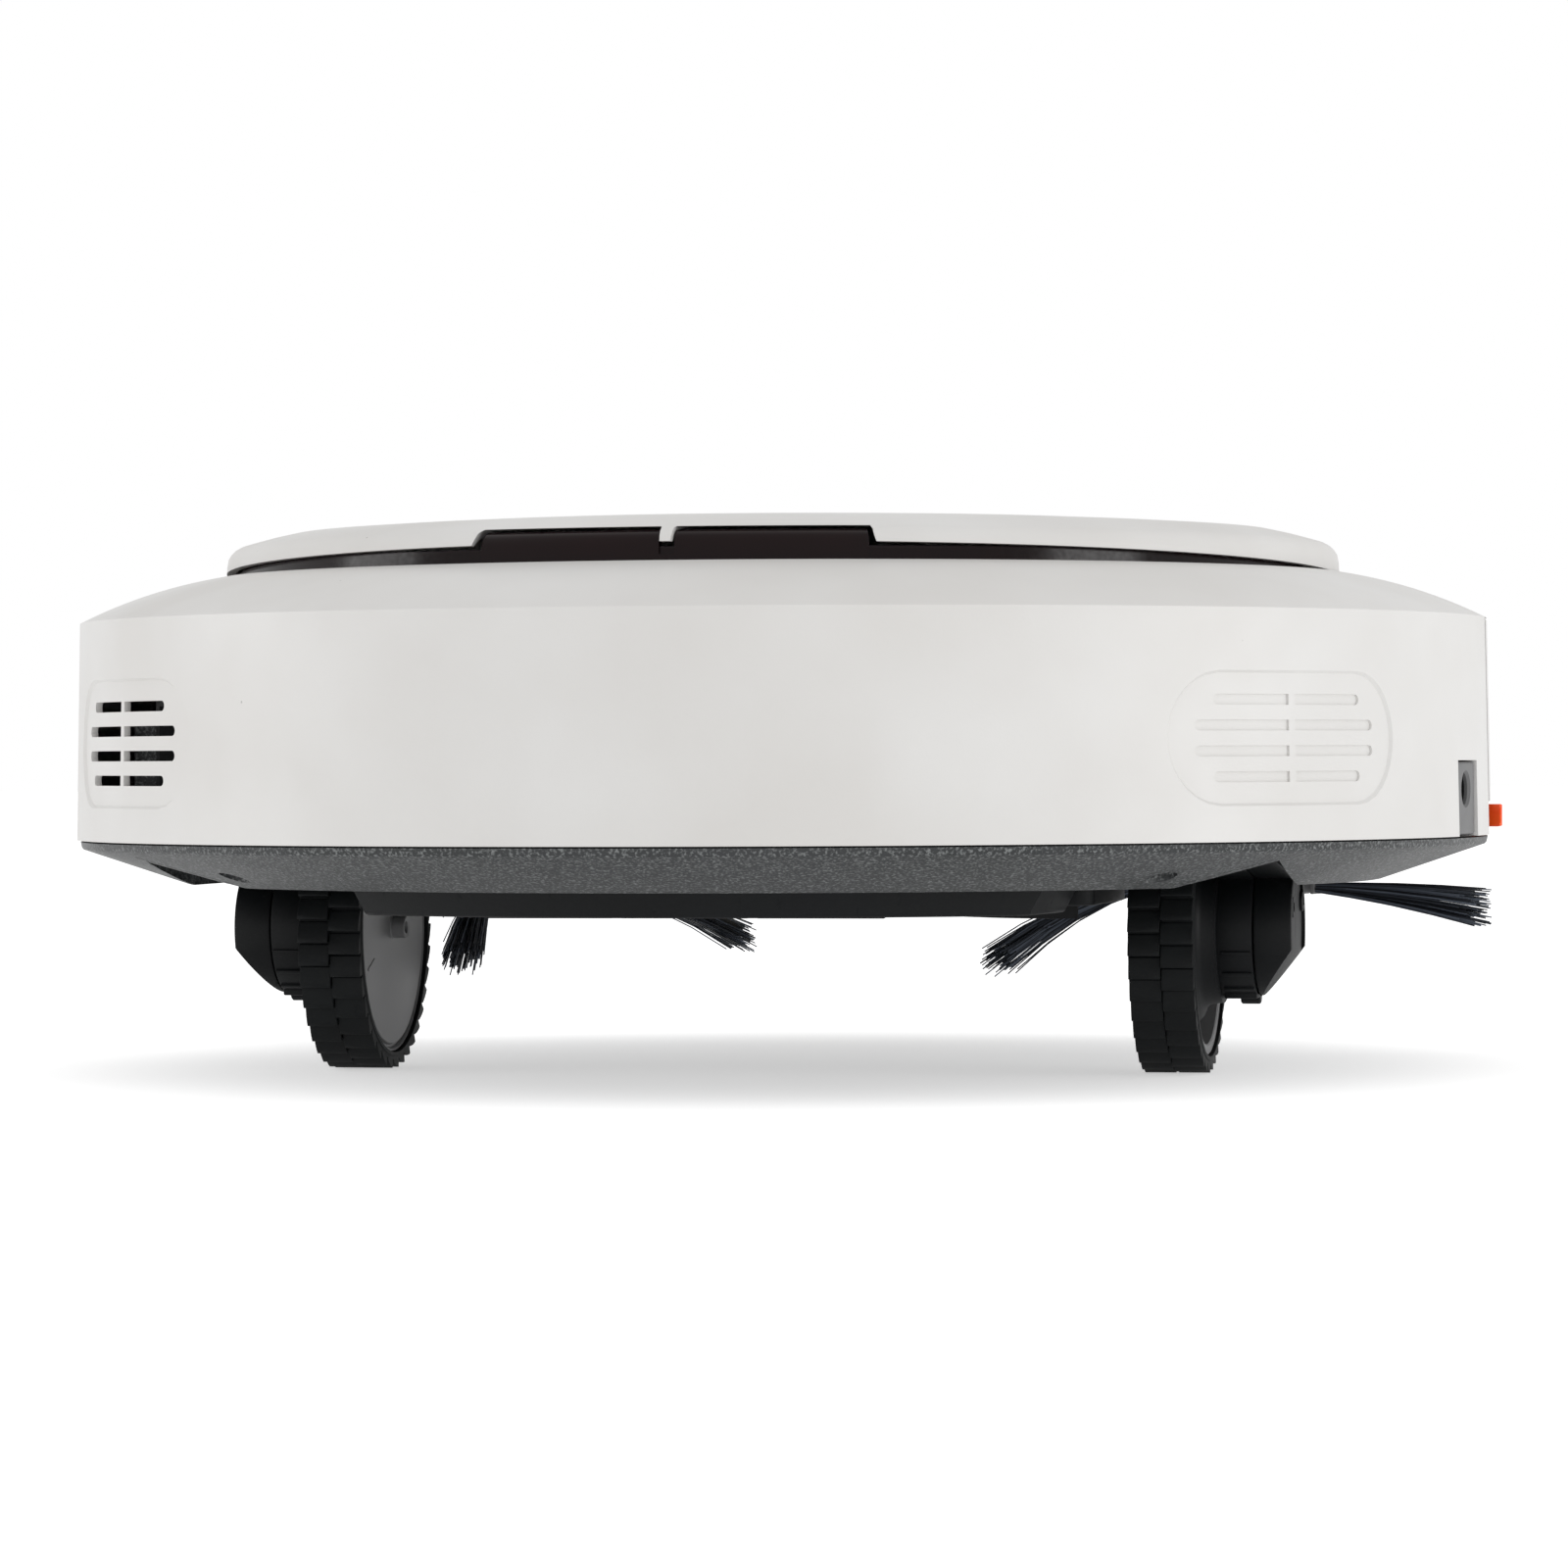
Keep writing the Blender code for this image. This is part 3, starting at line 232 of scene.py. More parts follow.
def moulded(name, tones, grain_mm, relief_mm, gloss, cloud_mm=45.0, painted_grain_highlight=None, rub=None, dust=None,
            **values):
    """Injection-moulded plastic or rubber.

    Two close tones drift over cloud_mm, an eroded grain of grain_mm stands relief_mm high, gloss is
    the range of roughness, the highlight colour paints a highlight on the tops of the grain, rub
    adds long pale scuffs, and dust adds a rare speck.
    """
    made, tree, shader, place = started(name, **values)
    cloud = noise(tree, place, cloud_mm, 3.0)
    grain = noise(tree, place, grain_mm)
    colour = blend(tree, span(tree, cloud, 0.35, 0.65, 0.0, 1.0), *tones)
    # Painted highlight: the tops of the grain lightened towards a pale grey, as if they caught the
    # light
    if painted_grain_highlight:
        colour = blend(tree, span(tree, grain, 0.5, 0.72, 0.0, 1.0), colour, painted_grain_highlight)
    rough = span(tree, cloud, 0.3, 0.7, *gloss)
    if rub:
        long_way = add(tree, "Mapping", {"Vector": place, "Scale": (1.0, 1.0, 0.12)})
        scuff = add(tree, "TexNoise", {"Vector": long_way.outputs["Vector"], "Scale": 1 / (6 * MM),
                                       "Detail": 6.0, "Roughness": 0.7})
        marks = span(tree, scuff.outputs["Fac"], 0.62, 0.75, 0.0, 0.55)
        colour = blend(tree, marks, colour, rub)
        rough = add(tree, "Math", {0: rough, 1: marks}, operation="ADD", use_clamp=True).outputs[0]
    if dust:
        cells = add(tree, "TexVoronoi", {"Vector": place, "Scale": 1 / (22 * MM)})
        spots = span(tree, cells.outputs["Distance"], 0.008, 0.016, 0.5, 0.0)
        colour = blend(tree, spots, colour, dust)
    dressed(shader, colour, rough, grain, relief_mm)
    return made


def smoked_polycarbonate():
    """Smoked polycarbonate: nearly black, with a brown-red depth and a weak, soft reflection."""
    made, tree, shader, place = started("smoked_polycarbonate", Specular_IOR_Level=0.18)
    cloud = noise(tree, place, 30, 4.0)
    rough = span(tree, noise(tree, place, 1.2, 3.0), 0.3, 0.7, 0.1, 0.24)
    dressed(shader, blend(tree, cloud, "0E0405", "1A0809"), rough, cloud, 0.05)
    return made


def nylon_filament():
    """Dyed nylon filaments: blue-black, each strand lightened by a random amount, partly its own
    tone and partly a painted sheen, with a sheen along it.
    """
    made, tree, shader, place = started("nylon_filament_dyed", Specular_IOR_Level=0.6)
    tone_and_sheen = add(tree, "Attribute", {}, attribute_name="strand").outputs["Fac"]
    rough = span(tree, noise(tree, place, 2.5), 0.3, 0.7, 0.28, 0.5)
    # Painted sheen: strands lightened at random towards pale blue-grey, partly a random tone and
    # partly painted highlights
    tree.links.new(blend(tree, tone_and_sheen, "1A1C20", "7A8290"), shader.inputs["Base Color"])
    tree.links.new(rough, shader.inputs["Roughness"])
    return made


def plated(name, tones, line_mm, gloss):
    """Plated sheet or bar: lines drawn along Z and slow clouding of the plating."""
    made, tree, shader, place = started(name, Metallic=1.0)
    drawn = add(tree, "Mapping", {"Vector": place, "Scale": (1.0, 1.0, 0.05)}).outputs["Vector"]
    lines = noise(tree, drawn, line_mm, 4.0)
    colour = blend(tree, noise(tree, place, 8), *tones)
    dressed(shader, colour, span(tree, lines, 0.3, 0.7, *gloss), lines, 0.02)
    return made


def solder_mask():
    """Green solder mask over etched copper: lighter tracks under the lacquer, 1.3 mm apart."""
    made, tree, shader, place = started("solder_mask_green", Coat_Weight=0.3)
    tracks = add(tree, "TexBrick", {"Vector": place, "Scale": 1 / (5 * MM), "Mortar Size": 0.04,
                                    "Color1": to_linear("0C4A2A"), "Color2": to_linear("0F5531"),
                                    "Mortar": to_linear("2F8A55")})
    rough = span(tree, noise(tree, place, 0.8), 0.3, 0.7, 0.25, 0.4)
    dressed(shader, tracks.outputs["Color"], rough, tracks.outputs["Fac"], 0.04)
    return made


def pleated_paper():
    """Pleated filter paper: off-white fibres over folds 6 mm apart, darker in the hollows of the
    folds.
    """
    made, tree, shader, place = started("filter_paper_pleated", Roughness=0.95)
    folds = add(tree, "TexWave", {"Vector": place, "Scale": 1 / (20 * MM)},
                bands_direction="Y").outputs["Fac"]
    deep = add(tree, "Bump", {"Height": folds, "Distance": 1.0 * MM}).outputs["Normal"]
    fine = add(tree, "Bump", {"Height": noise(tree, place, 0.4, 4.0), "Distance": 0.05 * MM,
                              "Normal": deep}).outputs["Normal"]
    # The colour follows the folds: darker where the folds' bump is low
    tree.links.new(blend(tree, folds, "A9A59A", "E8E6DE"), shader.inputs["Base Color"])
    tree.links.new(fine, shader.inputs["Normal"])
    return made


def make_finishes():
    """Every finish by its slot name, made once."""
    colours = bpy.context.scene.vacuum_colours
    return {
        # Satin ABS: warm grey-white with a faint fine grain and a rare speck of dust
        "white_plastic": moulded("white_abs_satin_moulded", (colours.casing, colours.casing_shade),
                                 0.5, 0.012, (0.36, 0.5), 60.0, dust="7D7A75"),
        # ABS with a coarse spark-eroded skin: dark and dull, with painted highlights in grey on the
        # grain's tops
        "black_textured_plastic": moulded("black_abs_spark_eroded", ("2A2D2E", "343638"), 0.7, 0.2,
                                          (0.38, 0.5), painted_grain_highlight="808383"),
        # ABS from a finely eroded mould: an even near-black with a soft sheen
        "dark_plastic": moulded("dark_abs_fine_grain", ("0E1011", "141618"), 0.5, 0.03,
                                (0.42, 0.56), rub="1E2022", Specular_IOR_Level=0.22),
        "smoked_plastic": smoked_polycarbonate(),
        # Nylon with a matt moulded skin: mid grey, faint scuffs from handling
        "grey_plastic": moulded("grey_nylon_moulded", ("6C6C6D", "767677"), 0.45, 0.03, (0.4, 0.55),
                                rub="8A8A8B"),
        # Soft elastomer: very dark and dull
        "rubber": moulded("black_elastomer", ("121314", "1A1B1C"), 0.6, 0.03, (0.6, 0.8)),
        # Tyre rubber: charcoal with pale scuffs from the floor
        "tyre_rubber": moulded("tyre_rubber_moulded", ("0F1112", "171A1B"), 0.7, 0.04, (0.5, 0.72),
                               cloud_mm=14.0, rub="232627", Specular_IOR_Level=0.22),
        "bristle": nylon_filament(),
        # Polycarbonate, moulded in its colour: a bright orange-red with a smooth skin
        "orange_plastic": moulded("orange_polycarbonate", (colours.switch, "FF4E08"), 0.6, 0.01,
                                  (0.28, 0.4), cloud_mm=6.0),
        # Zinc-plated steel: cool grey, with drawn lines
        "steel": plated("steel_zinc_plated", ("A8A9AA", "C4C5C6"), 0.5, (0.22, 0.42)),
        "circuit_board": solder_mask(),
        # PVC shrink film over cells: glossy blue with slack wrinkles
        "battery_wrap": moulded("pvc_shrink_film_blue", ("1C3F86", "254C9A"), 7.0, 0.6,
                                (0.2, 0.35)),
        "filter_paper": pleated_paper(),
        # Nickel-plated brass: pale gold with fine rubbing marks
        "contact_metal": plated("brass_nickel_plated", ("C9BD98", "DDD2AE"), 0.4, (0.15, 0.35)),
    }


FINISHES = {}                                  # filled by the first operator


# ---------------------------------------------------------------- modelling helpers

def heading(azimuth_deg, radius):
    """The place at this radius, with azimuth 0 at the rear and 90 on the robot's right."""
    a = radians(azimuth_deg)
    return radius * sin(a), -radius * cos(a)


def arc(cx, cy, radius, from_deg, to_deg, steps):
    """Points along a circular arc, both ends included."""
    turn = (to_deg - from_deg) / steps
    angles = [radians(from_deg + turn * k) for k in range(steps + 1)]
    return [(cx + radius * cos(a), cy + radius * sin(a)) for a in angles]


def crown(start, end, radius, steps):
    """Points on the upper of the two arcs of this radius from start to end, both included."""
    a, b = Vector(start), Vector(end)
    half = (b - a) / 2
    across = Vector((half.y, -half.x)).normalized()
    if across.y > 0:
        across = -across
    centre = a + half + across * sqrt(radius ** 2 - half.length ** 2)
    first = atan2(a.y - centre.y, a.x - centre.x)
    last = atan2(b.y - centre.y, b.x - centre.x)
    turn = [first + (last - first) * k / steps for k in range(steps + 1)]
    return [(centre.x + radius * cos(t), centre.y + radius * sin(t)) for t in turn]


def cleaned(bm):
    """Merges doubles and turns every face outwards."""
    bmesh.ops.remove_doubles(bm, verts=bm.verts, dist=0.001)
    bmesh.ops.recalc_face_normals(bm, faces=bm.faces)
    return bm


def moved(bm, x=0.0, y=0.0, z=0.0):
    bmesh.ops.translate(bm, verts=bm.verts, vec=(x, y, z))
    return bm


def turned(bm, angle, axis, centre=(0, 0, 0)):
    bmesh.ops.rotate(bm, verts=bm.verts, cent=centre, matrix=Matrix.Rotation(angle, 3, axis))
    return bm


def pulled(bm, faces):
    """Extrudes the faces, and gives the new corners to be moved."""
    grown = bmesh.ops.extrude_face_region(bm, geom=faces)["geom"]
    return [g for g in grown if isinstance(g, bmesh.types.BMVert)]


def mirrored(bm, side):
    """The shape as it is for side 1, or its mirror image in the YZ plane for side -1."""
    if side < 0:
        bmesh.ops.scale(bm, verts=bm.verts, vec=(-1, 1, 1))
        bmesh.ops.reverse_faces(bm, faces=bm.faces)
    return bm


def spun(outline, segments, start_deg=0.0, sweep_deg=360.0):
    """A solid spun about Z from an outline of (radius, height) points."""
    bm = bmesh.new()
    verts = [bm.verts.new((r, 0, h)) for r, h in outline]
    whole = sweep_deg >= 360
    if whole:
        edges = [bm.edges.new((verts[k - 1], verts[k])) for k in range(len(verts))
                 if outline[k - 1][0] > 0 or outline[k][0] > 0]
        geom = verts + edges
    else:
        face = bm.faces.new(verts)
        geom = verts + list(face.edges) + [face]
    turned(bm, radians(start_deg), "Z")
    bmesh.ops.spin(bm, geom=geom, cent=(0, 0, 0), axis=(0, 0, 1), angle=radians(sweep_deg),
                   steps=segments, use_merge=whole, use_duplicate=False)
    return cleaned(bm)


def lathed(outline, segments, axis="Z", centre=(0, 0)):
    """A spun solid laid along an axis, with its centre given in the other two axes, in order."""
    bm = spun(outline, segments)
    if axis == "X":
        turned(bm, pi / 2, "Y")
        return moved(bm, 0, centre[0], centre[1])
    if axis == "Y":
        turned(bm, -pi / 2, "X")
        return moved(bm, centre[0], 0, centre[1])
    return moved(bm, centre[0], centre[1], 0)


def rod(radius, low, high, axis="Z", centre=(0, 0), segments=32, bore=0.0, chamfer=0.0):
    """A round bar, or a tube with a bore, along an axis, with its ends chamfered."""
    c = chamfer
    outline = [(bore, low), (radius - c, low), (radius, low + c), (radius, high - c),
               (radius - c, high), (bore, high)]
    if not c:
        outline = [(bore, low), (radius, low), (radius, high), (bore, high)]
    return lathed(outline, segments, axis, centre)


def extruded(outline, low, high, axis="Z"):
    """A prism: the outline is in the two axes left, in order, and runs from low to high."""
    place = {"Z": lambda u, v: (u, v, low), "X": lambda u, v: (low, u, v),
             "Y": lambda u, v: (u, low, v)}[axis]
    way = {"Z": (0, 0, 1), "X": (1, 0, 0), "Y": (0, 1, 0)}[axis]
    bm = bmesh.new()
    face = bm.faces.new([bm.verts.new(place(u, v)) for u, v in outline])
    bmesh.ops.translate(bm, verts=pulled(bm, [face]), vec=Vector(way) * (high - low))
    return cleaned(bm)


def block(low, high, bevel=0.0, segments=2):
    """A block between two corners, with its edges rounded."""
    bm = bmesh.new()
    bmesh.ops.create_cube(bm, size=1)
    size = Vector(high) - Vector(low)
    bmesh.ops.scale(bm, verts=bm.verts, vec=size)
    bmesh.ops.translate(bm, verts=bm.verts, vec=(Vector(high) + Vector(low)) / 2)
    if bevel:
        bmesh.ops.bevel(bm, geom=bm.edges[:], offset=bevel, segments=segments, profile=0.5,
                        affect="EDGES", material=-1)
    return bm


def rounded(x0, x1, y0, y1, radius, steps=6):
    """A rectangle with rounded corners, counter-clockwise."""
    corners = ((x1 - radius, y1 - radius, 0), (x0 + radius, y1 - radius, 90),
               (x0 + radius, y0 + radius, 180), (x1 - radius, y0 + radius, 270))
    return [p for cx, cy, a in corners for p in arc(cx, cy, radius, a, a + 90, steps)]


def softened(bm, width, above_deg=40, segments=2, where=lambda edge: True):
    """Rounds the edges that turn by more than the angle given."""
    sharp = [e for e in bm.edges if len(e.link_faces) == 2
             and e.calc_face_angle(0) > radians(above_deg) and where(e)]
    bmesh.ops.bevel(bm, geom=sharp, offset=width, offset_type="OFFSET", segments=segments,
                    profile=0.5, affect="EDGES", clamp_overlap=True, material=-1)
    return bm


def joined(first, *others):
    """Several closed shells in one mesh."""
    for other in others:
        mesh = bpy.data.meshes.new("joining")
        other.to_mesh(mesh)
        other.free()
        first.from_mesh(mesh)
        bpy.data.meshes.remove(mesh)
    return first


def stand_in(bm):
    """A passing object for the Boolean modifiers."""
    mesh = bpy.data.meshes.new("stand_in")
    bm.to_mesh(mesh)
    bm.free()
    made = bpy.data.objects.new("stand_in", mesh)
    bpy.context.scene.collection.objects.link(made)
    return made


def carved(bm, *tools, how="DIFFERENCE"):
    """The shape with the tools cut away, or united with them."""
    made = stand_in(bm)
    helpers = [stand_in(tool) for tool in tools]
    for helper in helpers:
        step = made.modifiers.new(how.lower(), "BOOLEAN")
        step.operation = how
        step.solver = "EXACT"
        step.object = helper
    graph = bpy.context.evaluated_depsgraph_get()
    mesh = bpy.data.meshes.new_from_object(made.evaluated_get(graph), depsgraph=graph)
    result = bmesh.new()
    result.from_mesh(mesh)
    bpy.data.meshes.remove(mesh)
    for passing in [made, *helpers]:
        used = passing.data
        bpy.data.objects.remove(passing)
        bpy.data.meshes.remove(used)
    if not result.faces:
        raise RuntimeError("nothing was left after a cut")
    return result


def placed(name, bm, slot, body, replaces=()):
    """A finished piece: lifted into the frame in metres, with the finish of its slot, on its body.
    """
    moved(bm, 0, 0, LIFT)
    bmesh.ops.scale(bm, verts=bm.verts, vec=(MM, MM, MM))
    mesh = bpy.data.meshes.new(name)
    bm.to_mesh(mesh)
    bm.free()
    mesh.materials.clear()
    mesh.materials.append(FINISHES[slot])
    mesh.shade_smooth()
    mesh.set_sharp_from_angle(angle=SHARP)
    made = bpy.data.objects.new(name, mesh)
    bpy.context.scene.collection.objects.link(made)
    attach(made, body)
    if replaces:
        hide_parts(*replaces)
    return made


# ---------------------------------------------------------------- casing

def slope_points(steps):
    """The section of the sloping ring, from its sharp outer edge to its inner one."""
    return crown((BAND_TOP_R, BAND_TOP_Z), (RIM_R, RIM_Z), SLOPE_ROUND, steps)


def wall_bar(side, z, low, high, half, deep, proud=3.0, draft=0.0, ends=(True, True)):
    """A cutter laid along the side wall, from low to high as measured from the vent's middle.

    It is 2 * half tall, with round ends where asked, and widens outwards by its draft.
    """
    centre, long_half = (low + high) / 2, (high - low) / 2
    bm = bmesh.new()
    bmesh.ops.create_grid(bm, x_segments=24, y_segments=1, size=1)
    for v in bm.verts:
        s = sin(v.co.x * pi / 2)
        past = max(abs(s) * long_half - (long_half - half), 0) if ends[0 if s < 0 else 1] else 0
        tall = max(sqrt(max(half ** 2 - past ** 2, 0)), half * 0.06)
        v.co = (centre + s * long_half, deep, z + v.co.y * tall)
    spread_u = (long_half + draft) / long_half
    spread_v = (half + draft) / half
    for v in pulled(bm, bm.faces[:]):
        v.co = (centre + (v.co.x - centre) * spread_u, proud, z + (v.co.z - z) * spread_v)
    lean = (BODY_R - BAND_TOP_R) / BAND_TOP_Z
    for v in bm.verts:
        radius = BODY_R - lean * v.co.z + v.co.y
        x, y = heading(side * VENT_DEG + degrees(v.co.x / BODY_R), radius)
        v.co = (x, y, v.co.z)
    return cleaned(bm)


def vent_cuts(side):
    """The shallow stadium of a vent, then its slots: open on the left, blind on the right."""
    draft = 0.55 * (3.0 + VENT_DEEP) / VENT_DEEP
    stadium = wall_bar(side, VENT_Z, -VENT_HALF[0], VENT_HALF[0], VENT_HALF[1], -VENT_DEEP,
                       draft=draft)
    deep = -8.0 if side < 0 else -VENT_DEEP - 0.55
    slots = []
    for row, far in enumerate(SLOT_REACH):
        z = VENT_Z + (1.5 - row) * SLOT_PITCH
        for low, high, ends in ((RIB_HALF, far, (False, True)), (-far, -RIB_HALF, (True, False))):
            slots.append(wall_bar(side, z, low, high, SLOT_HALF_HEIGHT, deep, ends=ends))
    return stadium, joined(*slots)


def socket_room(foot):
    """The room cut for the charging socket."""
    half = SOCKET_HALF + GAP
    bm = block((-half, -BODY_R - 4, foot), (half, -(BODY_R - 12 - GAP), SOCKET_Z[1] + GAP))
    return turned(bm, radians(SOCKET_DEG), "Z")


def bin_outline(grow):
    """The dust bin's plan, from its packed box: a rear that follows the casing, straight sides."""
    x0, x1 = (v + s * grow for v, s in zip(reach("dust_bin", 0), (-1, 1)))
    radius = 127.0 + grow
    front = reach("dust_bin", 1)[1] + grow
    first, last = degrees(asin(x1 / radius)), degrees(asin(x0 / radius))
    rear = [heading(first + (last - first) * k / 24, radius) for k in range(25)]
    return rear + [(x0, front), (x1, front)]


def hinge_lug(x):
    """A lug that reaches forward from the deck to the lid's pin."""
    eye = arc(HINGE_Y, HINGE_Z, HINGE_EYE_R, -80, 150, 16)
    leg = [(HINGE_Y - 8, HINGE_Z - 3), (HINGE_Y - 8, DECK_Z - 1), (HINGE_Y - 4.2, DECK_Z - 1),
           (HINGE_Y - 4.2, HINGE_Z - 4)]
    return softened(extruded(eye + leg, x - 2, x + 2, "X"), 0.25)


def casing(segments):
    """The white upper casing: sloping ring, deck under the lid, and the rear side wall."""
    slope = slope_points(16)
    slope[-1:] = [(RIM_R + 0.5, RIM_Z - 0.02), (RIM_R + 0.12, RIM_Z - 0.22), (RIM_R, RIM_Z - 0.6)]
    under = [(r - 0.6, z - WALL) for r, z in slope_points(8)]
    under[0] = (BAND_TOP_R - WALL, BAND_TOP_Z)
    under[-1] = (RIM_R + WALL, RIM_Z - WALL)
    outline = slope + [(RIM_R, DECK_Z + 0.8), (RIM_R - 0.8, DECK_Z), (0, DECK_Z),
                       (0, DECK_Z - 2), (RIM_R + WALL, DECK_Z - 2)] + under[::-1]
    bm = spun(outline, segments)
    wall = [f for f in bm.faces if f.normal.z < -0.9
            and abs(f.calc_center_median().z - BAND_TOP_Z) < 0.1 and f.calc_center_median().y < 0]
    foot = pulled(bm, wall)
    bmesh.ops.delete(bm, geom=wall, context="FACES")
    spread = BODY_R / BAND_TOP_R
    bmesh.ops.scale(bm, verts=foot, vec=(spread, spread, 1))
    bmesh.ops.translate(bm, verts=foot, vec=(0, 0, -BAND_TOP_Z))
    cleaned(bm)
    for _, side in SIDES:
        bm = carved(bm, *vent_cuts(side))
    bm = carved(bm, socket_room(-1), extruded(bin_outline(GAP), 50, 60),
                block((-46, HINGE_Y - 4, DECK_Z - 0.5), (46, RIM_R - 1.5, DECK_Z + 3)))
    return joined(bm, hinge_lug(-11), hinge_lug(11), *[
        rod(2.6, DECK_Z - 0.5, DECK_Z + 0.9, centre=heading(a, 112), chamfer=0.3)
        for a in (-60, 62, 118, -118)])


def bumper(segments):
    """The sliding front half of the side wall: inner lip, notch for the switch, sensor opening."""
    top = BAND_TOP_Z - 0.4
    outline = [(BODY_R - 0.15, 0), (BODY_R, 0.15), (BAND_TOP_R + 0.05, top - 0.3),
               (BAND_TOP_R - 0.3, top), (155, top), (155, top - 2), (BAND_TOP_R - WALL, top - 2),
               (BODY_R - WALL, 0)]
    bm = spun(outline, segments // 2, SEAM_DEG, 180 - 2 * SEAM_DEG)
    y, z = reach("power_switch", 1), reach("power_switch", 2)[1] - LIFT
    notch = block((140, -5, -5), (180, y[1] + 6.3, z + 0.75))
    window = [(BODY_R - WALL - 1, 18), (BODY_R + 2, 18), (BODY_R + 2, 34), (BODY_R - WALL - 1, 34)]
    return carved(bm, notch, spun(window, 40, 66, 48))


def sensor_window():
    """The smoked strip in the bumper, with softened edges."""
    outline = [(BODY_R - WALL, 18.3), (BODY_R - 0.45, 18.3), (BODY_R - 0.3, 18.5),
               (BODY_R - 0.5, 33.4), (BODY_R - 0.7, 33.7), (BODY_R - WALL - 0.3, 33.7)]
    return spun(outline, 48, 66.2, 47.6)


# ---------------------------------------------------------------- lid

def lid_outline():
    """The domed lid's section: a short side, a tight shoulder and a nearly flat crown."""
    outer = [(130.2, LID_EDGE_Z), (130.0, 63.2), (129.7, 64.9), (129.1, 65.9), (128.1, 66.9),
             (126.7, 67.65), (124.6, 68.25), (120, 69.5), (115, 70.6), (105, 71.3), (92, 72.05),
             (75, 72.7), (50, 73.2), (25, 73.42), (0, 73.5)]
    inner = [(0, 71.5), (50, 71.2), (80, 70.6), (114.6, 68.6), (124.3, 66.1), (126.9, 65.0),
             (127.8, 63.8), (128.2, LID_EDGE_Z)]
    return outer + inner


def lid(segments):
    """The lid: it rises to the rear, where two windows flank a small tab, and has a knuckle."""
    bm = spun(lid_outline(), segments)
    edge = LID_EDGE_Z
    wedge = [(0, edge - 5), (0, edge), (-150, edge + 150 * LID_TILT), (-150, edge - 5)]
    low, high = (heading(a, 127)[0] for a in WINDOW_DEG)
    windows = []
    for _, side in SIDES:
        outline = [(TAB_HALF * 0.6, 60), (low + 0.6, 60), (high + 0.3, WINDOW_TOP_Z - 0.8),
                   (high - 0.6, WINDOW_TOP_Z), (TAB_HALF + 0.3, WINDOW_TOP_Z),
                   (TAB_HALF, WINDOW_TOP_Z - 0.3)]
        windows.append(mirrored(extruded(outline, -140, -105, "Y"), side))
    bm = carved(bm, extruded(wedge, -160, 160, "X"), *windows,
                lathed([(0, 64), (BUTTON_R + 0.3, 64), (BUTTON_R + 0.3, 72.6),
                        (BUTTON_R + 1.3, 73.3), (BUTTON_R + 1.5, 76), (0, 76)], 64,
                       centre=(0, BUTTON_Y)))
    eye = arc(HINGE_Y, HINGE_Z, HINGE_EYE_R, -90, 0, 8)
    up = [(HINGE_Y + HINGE_EYE_R, 66.6), (HINGE_Y - 8, 68.6), (HINGE_Y - 8, 66)]
    back = arc(HINGE_Y, HINGE_Z, HINGE_EYE_R, 180, 240, 6)
    return joined(bm, extruded(eye + up + back, -8.6, 8.6, "X"))


def smoked_skirt():
    """Smoked plastic under the lid's rear edge, standing forward in the lid's two windows."""
    ring = [(125.7, 58.6), (127.5, 58.6), (127.7, 58.8), (127.3, 63.6), (125.7, 63.6)]
    half = WINDOW_DEG[1] - 0.35
    insert = [(126, 59), (128.3, 59), (128.1, 63.4), (127.9, 64.6), (127.3, 65.8), (126.4, 66.7),
              (125.2, 67.2), (123.5, 67.4), (123.5, 65.2), (126, 63)]
    insert = spun(insert, 48, -90 - half, 2 * half)
    insert = carved(insert, block((-TAB_HALF - GAP, -131, 62), (TAB_HALF + GAP, -120, 70)))
    return joined(spun(ring, 128, -185, 190), insert)


def start_button():
    """A dished round button with a raised ring round a dot."""
    outline = [(0, 69.2), (BUTTON_R + 1.4, 69.2), (BUTTON_R + 1.4, 70.3), (BUTTON_R, 70.3),
               (BUTTON_R, 72.9), (BUTTON_R - 0.2, 73.2), (BUTTON_R - 0.6, 73.3), (6.6, 73.15),
               (4.6, 73.05), (4.4, 73.2), (3.8, 73.2), (3.6, 73.0), (0.9, 72.95), (0.8, 73.1),
               (0, 73.15)]
    return lathed(outline, 64, centre=(0, BUTTON_Y))


# ---------------------------------------------------------------- chassis

def well_room(side, grow, foot):
    """The two boxes of a wheel well: high over the wheel, low over the gearbox's arm."""
    (x0, x1), (y0, y1) = WELL_X, WELL_Y
    meet = y0 if grow else y0 + 1
    high = block((x0 - grow, y0 - grow, foot), (x1 + grow, y1 + grow, WELL_TOP_Z + grow))
    low = block((x0 - grow, WELL_BACK_Y - grow, foot), (x1 + grow, meet, WELL_LOW_TOP_Z + grow))
    return mirrored(high, side), mirrored(low, side)


def under_flank(segments):
    """A cutter just under the conical flank, which trims the wheel wells' walls to it."""
    b = BOTTOM_Z
    rise = (-2.15 - b) / (163.5 - BOTTOM_R)
    line = [(r, b + rise * (r - BOTTOM_R) - 0.06) for r in (170.0, 141.0)]
    return spun([(141.0, b - 3), (170.0, b - 3)] + line, segments)


